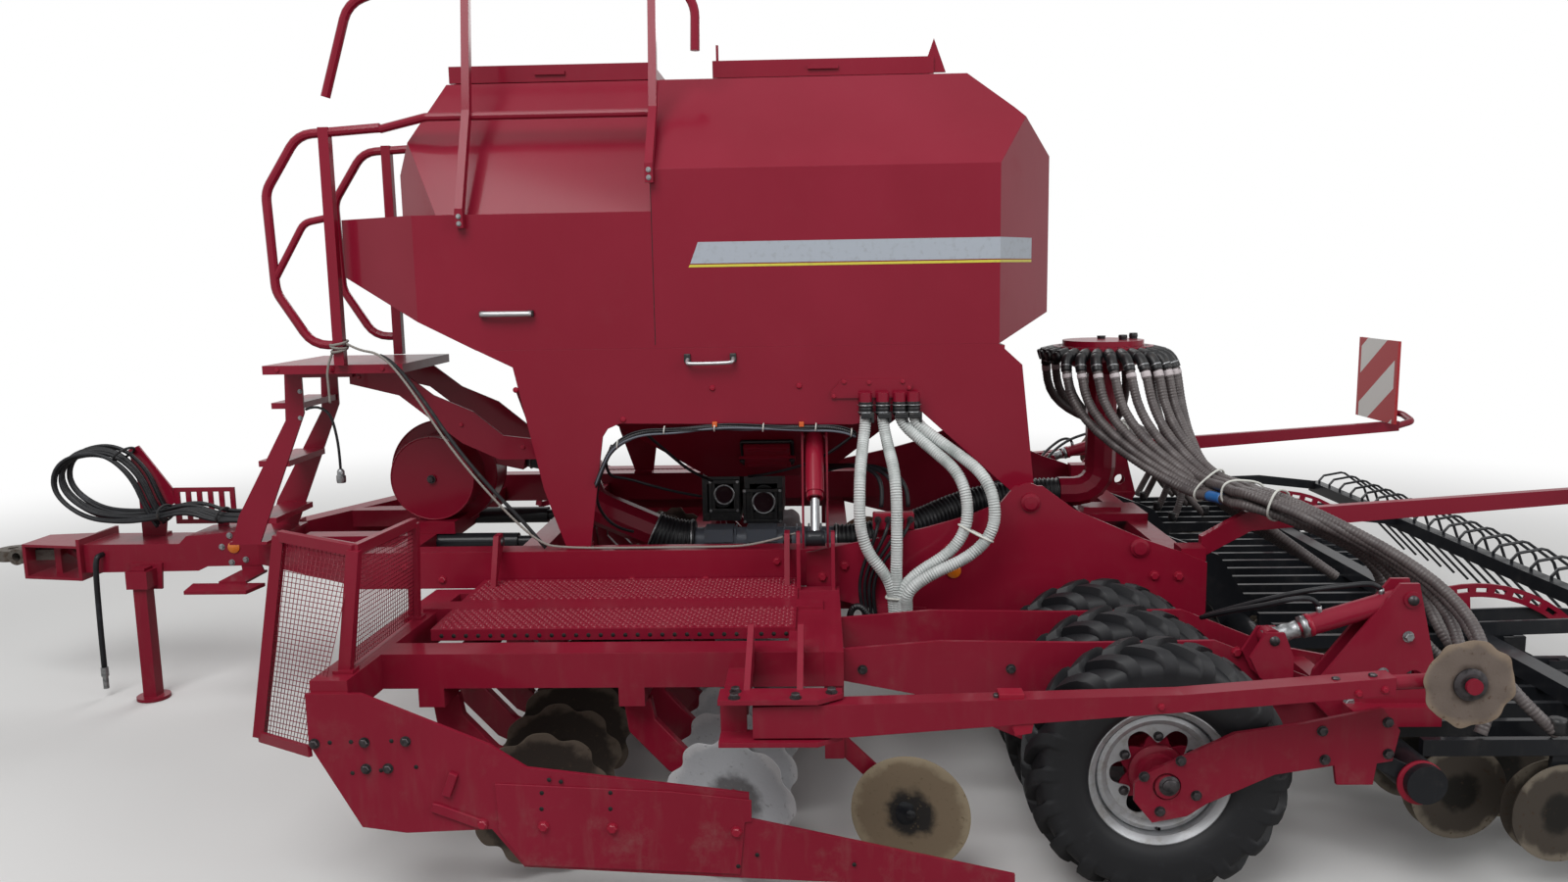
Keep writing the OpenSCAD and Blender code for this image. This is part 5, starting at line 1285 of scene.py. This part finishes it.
def guard_mesh():
    """Welded wire mesh in the guards, 16 mm apart."""
    a_top, a_low = (2604, 1790, 1105), (2712, 1790, 495)
    b_top, b_low = (2337, 1898, 1085), (2385, 1898, wing_top + 8)
    c_top, c_low = (2350, 1372, 1050), (2365, 1372, wing_top + 8)
    for name, side in (("left", 1), ("right", -1)):
        flip = np.array([1, side, 1])
        parts = wire_panel([np.array(p) * flip for p in (a_top, b_top, (2470, 1975, 530), a_low)], 18, 40,
                           2.4)
        parts += wire_panel([np.array(p) * flip for p in (b_top, c_top, c_low, b_low)], 36, 24, 2.4)
        vertices, faces, _ = merge(parts)
        piece = new_object(f"{name}_guard_mesh", vertices, faces, worn_red)
        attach(piece, f"{name}_wing")


def tread_planks():
    """Treads: punched collars in staggered rows on the folded planks, and a row of round holes in each
    outer flange; the collars' openings and the holes are near-black discs of painted shade."""
    collar = turned_arrays([(10.5, 0), (9, 2.2), (7.4, 4.2), (6.0, 4.2), (5.4, 0.3)], 12)
    collar_hole_shade = turned_arrays([(0, 0.25), (5.6, 0.25)], 12)
    top = wing_top + 12
    for name, side in (("left", 1), ("right", -1)):
        spots, holes = [], []
        for y0, y1 in ((925, 1210), (1306, 1539)):
            rows = int((y1 - y0 - 16) / 21)
            for row in range(rows):
                y = (y0 + y1) / 2 + (row - (rows - 1) / 2) * 21
                first = 1086 + (row % 2) * 13
                spots += [(x, side * y, top) for x in np.arange(first, 2242, 26)]
            holes += [(x, side * y1, wing_top - 10) for x in np.arange(1100, 2240, 40)]
        parts = repeat_arrays(*collar, spots, [(0, 0, 1)] * len(spots))
        piece = new_object(f"{name}_tread_collars", place(parts[0]), parts[1], worn_red)
        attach(piece, f"{name}_wing")
        # painted shade: near-black discs at the foot of each collar and on the flanges where the holes are
        v, f = repeat_arrays(*collar_hole_shade, spots, [(0, 0, 1)] * len(spots))
        w, g = repeat_arrays(*turned_arrays([(0, 0.5), (7, 0.5), (7, 0)], 14), holes,
                             [(0, side, 0)] * len(holes))
        vertices, faces, _ = merge([(v, f), (w, g)])
        piece = new_object(f"{name}_tread_hole_shade", place(vertices), faces, hole_shade_and_seam)
        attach(piece, f"{name}_wing")


# Fasteners and plates

side_plate_bolts = ((2453, 546), (2307, 549), (2187, 552), (2307, 469), (2243, 470))
side_plate_red = ((1976, 299), (1797, 294), (1597, 288), (1238, 276))
side_plate_hole_shade = ((2408, 549), (2346, 551), (2228, 553), (2348, 456), (2264, 464), (2161, 474),
                    (1798, 396), (1599, 396), (1801, 347), (1601, 347), (1235, 170), (1775, 436),
                    (1741, 430),
                    (1180, 205), (900, 175))
hub_arm_bolts = ((-37, 468), (66, 421), (-84, 363), (18, 315), (-432, 556), (-443, 470), (-614, 581),
                 (-620, 487))


def wing_fittings():
    """Bolts, holes drawn as near-black discs of painted shade, overlays and pins on the wings' side
    plates, hub arms, brackets and hinges.
    """
    for name, side in (("left", 1), ("right", -1)):
        body = f"{name}_wing"
        face, arm, packer, bracket = outer_y + 12, outer_y - 26, plate_y[1] + 7, ram_y + 36
        spots = [(x, side * face, z) for x, z in side_plate_bolts] + [(x, side * arm, z) for x,
                z in hub_arm_bolts]
        spots += [(x, side * packer, z) for x, z in ((-408, 625), (-610, 548), (400, 640), (860, 640))]
        bolt_heads(f"{name}_wing_bolts", spots, [(0, side, 0)] * len(spots), dark_bolt, body, across=22,
                   height=12)
        bright = [(-765, side * bracket, 763), (-697, side * bracket, 650), (-600, side * bracket, 560)]
        bright += [(-408, side * packer, 625 - 60)]
        bolt_heads(f"{name}_bright_bolts", bright, [(0, side, 0)] * len(bright), zinc, body, across=24,
                   height=14)
        red = [(x, side * (face + 5 * (x < 1930)), z) for x,
               z in side_plate_red] + [(-508, side * packer, 590), (-291, side * packer, 690)]
        bolt_heads(f"{name}_painted_bolts", red, [(0, side, 0)] * len(red), bright_red, body, across=24,
                   height=12)
        tops = [(1230, side * (outer_y + 90), 706), (1060, side * (outer_y + 90), 706),
                (1230, side * (outer_y + 40), 706), (960, side * (outer_y + 50), 706)]
        bolt_heads(f"{name}_marker_bracket_bolts", tops, [(0, 0, 1)] * len(tops), dark_bolt, body,
                   across=24, height=14)
        # painted shade: near-black discs on the side plates where the holes are
        painted_hole_shade = turned_arrays([(0, 0.6), (6.5, 0.6), (6.5, 0)], 14)
        v, f = repeat_arrays(*painted_hole_shade, [(x, side * (face + 5 * (x < 1930)), z) for x, z in side_plate_hole_shade],
                             [(0, side, 0)] * len(side_plate_hole_shade))
        piece = new_object(f"{name}_side_plate_hole_shade", place(v), f, hole_shade_and_seam)
        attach(piece, body)
        overlays(name, side, body, face)
        pins(name, side, body)


def flat_plate(name, outline, y0, y1, material, body, bevel=1.5):
    """Plate cut from an outline in X and Z between two distances from the centre plane."""
    return flat_plates(name, [(outline, y0, y1)], material, body, bevel)


def overlays(name, side, body, face):
    """Skirt plate bolted over the side plate, its lever and catch, and the round plate behind the hub
    arm."""
    flat_plate(f"{name}_skirt_plate", [(1934, 424), (1420, 398), (1193, 372), (1194, 306), (1213, 304),
                                       (1230, 144), (1525, 158), (1856, 172), (1929, 278)], side * face,
                                       side * (face + 5), worn_red, body)
    flat_plate(f"{name}_lever", [(1962, 286), (1990, 288), (2124, 340), (2118, 366), (2098, 362),
                                 (1978, 316), (1962, 310)], side * face, side * (face + 9), worn_red,
                                 body, bevel=3)
    flat_plate(f"{name}_catch", [(2038, 452), (2062, 462), (2088, 392), (2064, 384)], side * face,
               side * (face + 14), worn_red, body, bevel=3)
    turn = turned_arrays([(0, 0), (62, 0), (66, 2), (66, 8), (62, 10), (0, 10)], 48)
    v, f = repeat_arrays(*turn, [(-720, side * (outer_y - 40), 396)], [(0, side, 0)])
    piece = new_object(f"{name}_round_plate", place(v), f, bright_red)
    shade_edges(piece)
    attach(piece, body)
    flat_plate(f"{name}_round_plate_foot", [(-600, 470), (-640, 470), (-760, 410), (-740, 380),
                                            (-690, 388), (-590, 440)], side * (outer_y - 46),
                                            side * (outer_y - 40), black_enamel, body)
    cap = turned_arrays([(0, 0), (30, 0), (30, 6), (22, 10), (22, 16), (16, 20), (0, 20)], 28)
    v, f = repeat_arrays(*cap, [(-5, side * (outer_y - 26), 394)], [(0, side, 0)])
    piece = new_object(f"{name}_hub_cap", place(v), f, dark_bolt)
    shade_edges(piece)
    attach(piece, body)


def pins(name, side, body):
    """Pins and plated parts of the seed bar's ram, and the hinge pins."""
    y0, y1 = ram_y - 44, ram_y + 44
    rods = [[[-370, side * y0, 753], [-370, side * y1, 753]],
            [[-770, side * (y0 - 4), 876], [-770, side * (y1 + 6), 876]]]
    tubes(f"{name}_ram_pins", rods, 15, dark_bolt, body, sides=18, step=20)
    plated = [[[-352, side * ram_y, 747], [-400, side * ram_y, 762], [-452, side * ram_y, 778]]]
    tubes(f"{name}_ram_clevis", plated, 27, zinc, body, sides=20, step=12, rib=(34, 3))
    nut = [[[-462, side * ram_y, 782], [-478, side * ram_y, 787]]]
    tubes(f"{name}_ram_nut", nut, 36, zinc, body, sides=8, step=20)
    cone = [[[-478, side * ram_y, 787], [-492, side * ram_y, 791]]]
    tubes(f"{name}_ram_head", cone, 35, bright_red, body, sides=24, step=14)
    port = [[[-520, side * ram_y, 806], [-512, side * ram_y, 848]],
            [[-700, side * ram_y, 866], [-694, side * ram_y, 900]]]
    tubes(f"{name}_ram_ports", port, 9, zinc, body, sides=10, step=8)
    feed = [bent_route([[-512, side * ram_y, 846], [-505, side * ram_y, 870],
                        [-450, side * (ram_y - 10), 872], [-380, side * (ram_y - 60), 835],
                        [-300, side * (ram_y - 150), 790],
                        [-250, side * (ram_y - 260), 735]], 6),
            bent_route([[-694, side * ram_y, 898], [-680, side * ram_y, 920],
                        [-600, side * (ram_y - 20), 905], [-470, side * (ram_y - 70), 872],
                        [-340, side * (ram_y - 170), 800],
                        [-270, side * (ram_y - 280), 735]], 6)]
    tubes(f"{name}_ram_hoses", feed, 8, hose_rubber, body, sides=10, step=14)
    hinge = [[[x - 6, side * 930, 890], [x + 26, side * 930, 890]] for x in (1100, 2180)]
    tubes(f"{name}_hinge_pins", hinge, 17, dark_bolt, body, sides=18, step=16)


def chassis_fittings():
    """Bolts on the drawbar, arch plates, beams, deck and rails, and the jack's holes drawn as near-black
    discs of painted shade.
    """
    side = [(3684, 690), (3645, 745), (3567, 731), (3579, 630), (3644, 618)]
    bolt_heads("drawbar_bolts", [(x, 120, min(z, 742)) for x, z in side], [(0, 1, 0)] * len(side), zinc,
               "chassis", across=20, height=10)
    arch = [(-174, 858), (-230, 753), (-318, 750), (900, 800), (980, 760), (520, 860), (40, 700)]
    spots = [(x, q * arch_y, z) for q in (1, -1) for x, z in arch]
    bolt_heads("arch_bolts", spots, [(0, 1 if q[1] > 0 else -1, 0) for q in spots], bright_red, "chassis",
               across=26, height=12)
    boss = turned_arrays([(0, 0), (34, 0), (34, 9), (24, 12), (24, 17), (0, 18)], 32)
    places = [(224, arch_y, 1030), (-174, arch_y - 1, 858)]
    places += [(x, -y, z) for x, y, z in places]
    v, f = repeat_arrays(*boss, places, [(0, 1 if q[1] > 0 else -1, 0) for q in places])
    piece = new_object("arch_bosses", place(v), f, red_enamel)
    shade_edges(piece)
    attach(piece, "chassis")
    deck = [(3120, 640, 1522), (2900, 640, 1522), (2700, 640, 1522)]
    bolt_heads("deck_bolts", deck, [(0, 1, 0)] * 3, bright_red, "chassis", across=14, height=6)
    rails = [(q - 0, hop_half + 34, z) for q, z in ((2290, step_z - 8), (2290, step_z - 34),
            (step_x, hop_z1 - 4), (step_x, hop_z1 - 32))]
    bolt_heads("rail_bolts", rails, [(0, 1, 0)] * 4, zinc, "chassis", across=13, height=8)
    carrier = [(2860, 480, 1478), (2640, 480, 1400), (2450, 480, 1276), (2200, 480, 1180)]
    bolt_heads("carrier_bolts", carrier, [(0, 1, 0)] * 4, bright_red, "chassis", across=14, height=6)
    ladder = [(3127, 455, 1310), (3196, 455, 1323 - 30), (3190, 455, 1091), (3120, 455, 1420),
              (3225, 455, 1101 - 60)]
    bolt_heads("ladder_bolts", ladder[:1] + ladder[3:4], [(0, 1, 0)] * 2, zinc, "chassis", across=13,
               height=7)
    beam = [(x, 910.4, z) for x, z in ((2560, 790), (2420, 740), (1700, 730), (1420, 730), (1150, 800),
                                       (700, 760))]
    bolt_heads("beam_bolts", beam, [(0, 1, 0)] * len(beam), bright_red, "chassis", across=22, height=9)
    flat_plate("perforated_plate", [(628 + 52 * math.cos(a), 372 + 52 * math.sin(a))
            for a in np.linspace(0, 2 * np.pi, 24, endpoint=False)], arch_y, arch_y + 5, bright_red,
            "chassis")
    # painted shade: near-black discs on the perforated plate where its holes are
    dots = [(628 + r * math.cos(a), arch_y + 5, 372 + r * math.sin(a)) for r,
            n in ((16, 5), (34, 10)) for a in np.linspace(0, 2 * np.pi, n, endpoint=False)]
    v, f = repeat_arrays(*turned_arrays([(0, 0.5), (4.5, 0.5), (4.5, 0)], 10), dots,
                         [(0, 1, 0)] * len(dots))
    piece = new_object("perforated_plate_hole_shade", place(v), f, hole_shade_and_seam)
    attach(piece, "chassis")


def marker_fittings():
    """Bolts on the marker arms, with a stop and a tab."""
    for name, side in (("left", 1), ("right", -1)):
        body = f"{name}_marker"
        top = [(1120, 676), (980, 684), (503, 694), (-420, 736), (-519, 746)]
        spots = [(x, side * (marker_y + 4), z) for x, z in top]
        bolt_heads(f"{name}_marker_bolts", spots, [(0, 0, 1)] * len(spots), dark_bolt, body, across=20,
                   height=12)
        face = [(-470, 712), (-540, 722), (60, 676)]
        bolt_heads(f"{name}_marker_face_bolts", [(x, side * (marker_y + 32), z) for x, z in face],
                   [(0, side, 0)] * 3, bright_red, body, across=15, height=8)
        boxes(f"{name}_marker_stop", [[[430, 500], sorted((side * (marker_y - 26),
                side * (marker_y + 26))), [696, 712]]], bright_red, body, bevel=2)
        flat_plate(f"{name}_marker_tab", [(470, 640), (400, 648), (410, 600), (455, 592)],
                   side * (marker_y + 20), side * (marker_y + 28), bright_red, body)


def reflectors():
    """Round orange lenses on the drawbar and frame."""
    disc = turned_arrays([(0, 0), (27, 0), (27, 5), (20, 9), (0, 10)], 24)
    spots = [(3629, 120, 688), (500, arch_y, 778), (3629, -120, 688), (500, -arch_y, 778)]
    axes = [(0, 1, 0), (0, 1, 0), (0, -1, 0), (0, -1, 0)]
    v, f = repeat_arrays(*disc, spots, axes)
    piece = new_object("orange_reflectors", place(v), f, orange_lens)
    shade_edges(piece)
    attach(piece, "chassis")


def rod_eyes():
    """Painted eyes at the ends of the fold rods."""
    for name, side in (("left", 1), ("right", -1)):
        tubes(f"{name}_rod_eye", [[[969.4, side * 1030, 915], [1040.6, side * 1030, 915]]], 28.6,
              black_enamel, f"{name}_rod", sides=32, step=20)


def finish_nodes():
    """Finish of each solid that shows."""
    looks = {"tow_eye": iron, "hose_coupling": zinc, "injector_pipe": grey_plastic,
             "air_hoses": black_hose, "front_rams": black_enamel, "meter_units": black_plastic,
             "warning_boards": board_foil, "seed_hoses": grey_hose, "jack_leg": worn_red,
             "drawbar": worn_red}
    for name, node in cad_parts.items():
        look = looks.get(name)
        if look is None:
            if name.endswith("seed_discs"):
                look = openers
            elif name.endswith("_discs") or "marker_disc" in name:
                look = dark_blade
            elif name.endswith("seed_bar"):
                look = black_enamel
            elif "fold_barrel" in name:
                look = bright_red
            elif "press_wheels" in name:
                look = rubber
            elif "fold_rod" in name:
                look = chrome
            elif "wing_hoses" in name:
                look = grey_hose
            elif name.startswith(("left_", "right_")):
                look = worn_red
            else:
                look = red_enamel
        node.data.materials.clear()
        node.data.materials.append(look)


def white_when_seen(tree, level):
    """Strength of the backdrop: white for the camera, less for gloss and glass, and the given level for
    the light it casts."""
    rays = add(tree, "ShaderNodeLightPath").outputs
    shiny = add(tree, "ShaderNodeMath", {0: rays["Is Glossy Ray"], 1: rays["Is Transmission Ray"]},
                operation="MAXIMUM").outputs[0]
    seen = add(tree, "ShaderNodeMath", {0: rays["Is Camera Ray"], 1: times(tree, shiny, 0.6)},
               operation="MAXIMUM").outputs[0]
    return add(tree, "ShaderNodeMapRange", {"Value": seen, "To Min": level,
                                            "To Max": 1.0}).outputs["Result"]


def studio():
    """Pale floor that runs into the white backdrop, and three soft lamps."""
    floor = new_object("floor", np.array([[-60, -60, -0.002], [60, -60, -0.002], [60, 60, -0.002],
                                          [-60, 60, -0.002]]), [[0, 1, 2, 3]], pale_floor(), smooth=False)
    world = bpy.data.worlds.new("studio")
    world.use_nodes = True
    bpy.context.scene.world = world
    tree = world.node_tree
    tree.nodes.clear()
    back = add(tree, "ShaderNodeBackground", {"Color": linear("#FFFFFF"),
                                              "Strength": white_when_seen(tree, 0.38)})
    add(tree, "ShaderNodeOutputWorld", {"Surface": back.outputs[0]})
    for name, spot, energy, size in (("key", (2.2, 6.0, 7.6), 440, 5.0),
                                     ("fill", (-6.5, 4.5, 4.0), 130, 4.0),
                                     ("rim", (0.5, -7.0, 6.5), 230, 5.0)):
        lamp = bpy.data.lights.new(name, "AREA")
        lamp.energy = energy
        lamp.size = size
        made = bpy.data.objects.new(name, lamp)
        made.location = spot
        made.rotation_euler = (Vector((0, 0, 0.9)) - Vector(spot)).to_track_quat("-Z", "Y").to_euler()
        bpy.context.collection.objects.link(made)


def pale_floor():
    """Pale matt floor under the object, glowing white beyond it so that it meets the backdrop without an
    edge."""
    made, tree, shader = new_material("pale floor", Roughness=0.9, Specular_IOR_Level=0.1)
    rays = add(tree, "ShaderNodeLightPath").outputs
    tree.links.new(mix(tree, rays["Is Camera Ray"], linear("#A09E9B"), linear("#E4E4E3")),
                   shader.inputs["Base Color"])
    place_at = add(tree, "ShaderNodeTexCoord").outputs["Object"]
    away = add(tree, "ShaderNodeVectorMath", {0: place_at}, operation="LENGTH").outputs["Value"]
    share = ramp(tree, away, 4.5, 9.0)
    glow = add(tree, "ShaderNodeEmission", {"Color": linear("#FFFFFF"),
                                            "Strength": white_when_seen(tree, 0.3)})
    blend = add(tree, "ShaderNodeMixShader", {0: share, 1: shader.outputs[0], 2: glow.outputs[0]})
    output = next(n for n in tree.nodes if n.type == "OUTPUT_MATERIAL")
    tree.links.new(blend.outputs[0], output.inputs["Surface"])
    return made


bpy.context.scene.view_settings.view_transform = "Standard"
hanging_hose()
lamp_lead()
finish_nodes()
dress_packers()
harrow_blades()
marker_discs()
hydraulic_loops()
white_hose_set()
seed_hose_set()
wing_hose_set()
cable_sets()
stripe_plates()
handles()
hopper_fittings()
air_fittings()
valve_block()
guard_mesh()
tread_planks()
wing_fittings()
chassis_fittings()
marker_fittings()
reflectors()
rod_eyes()
studio()
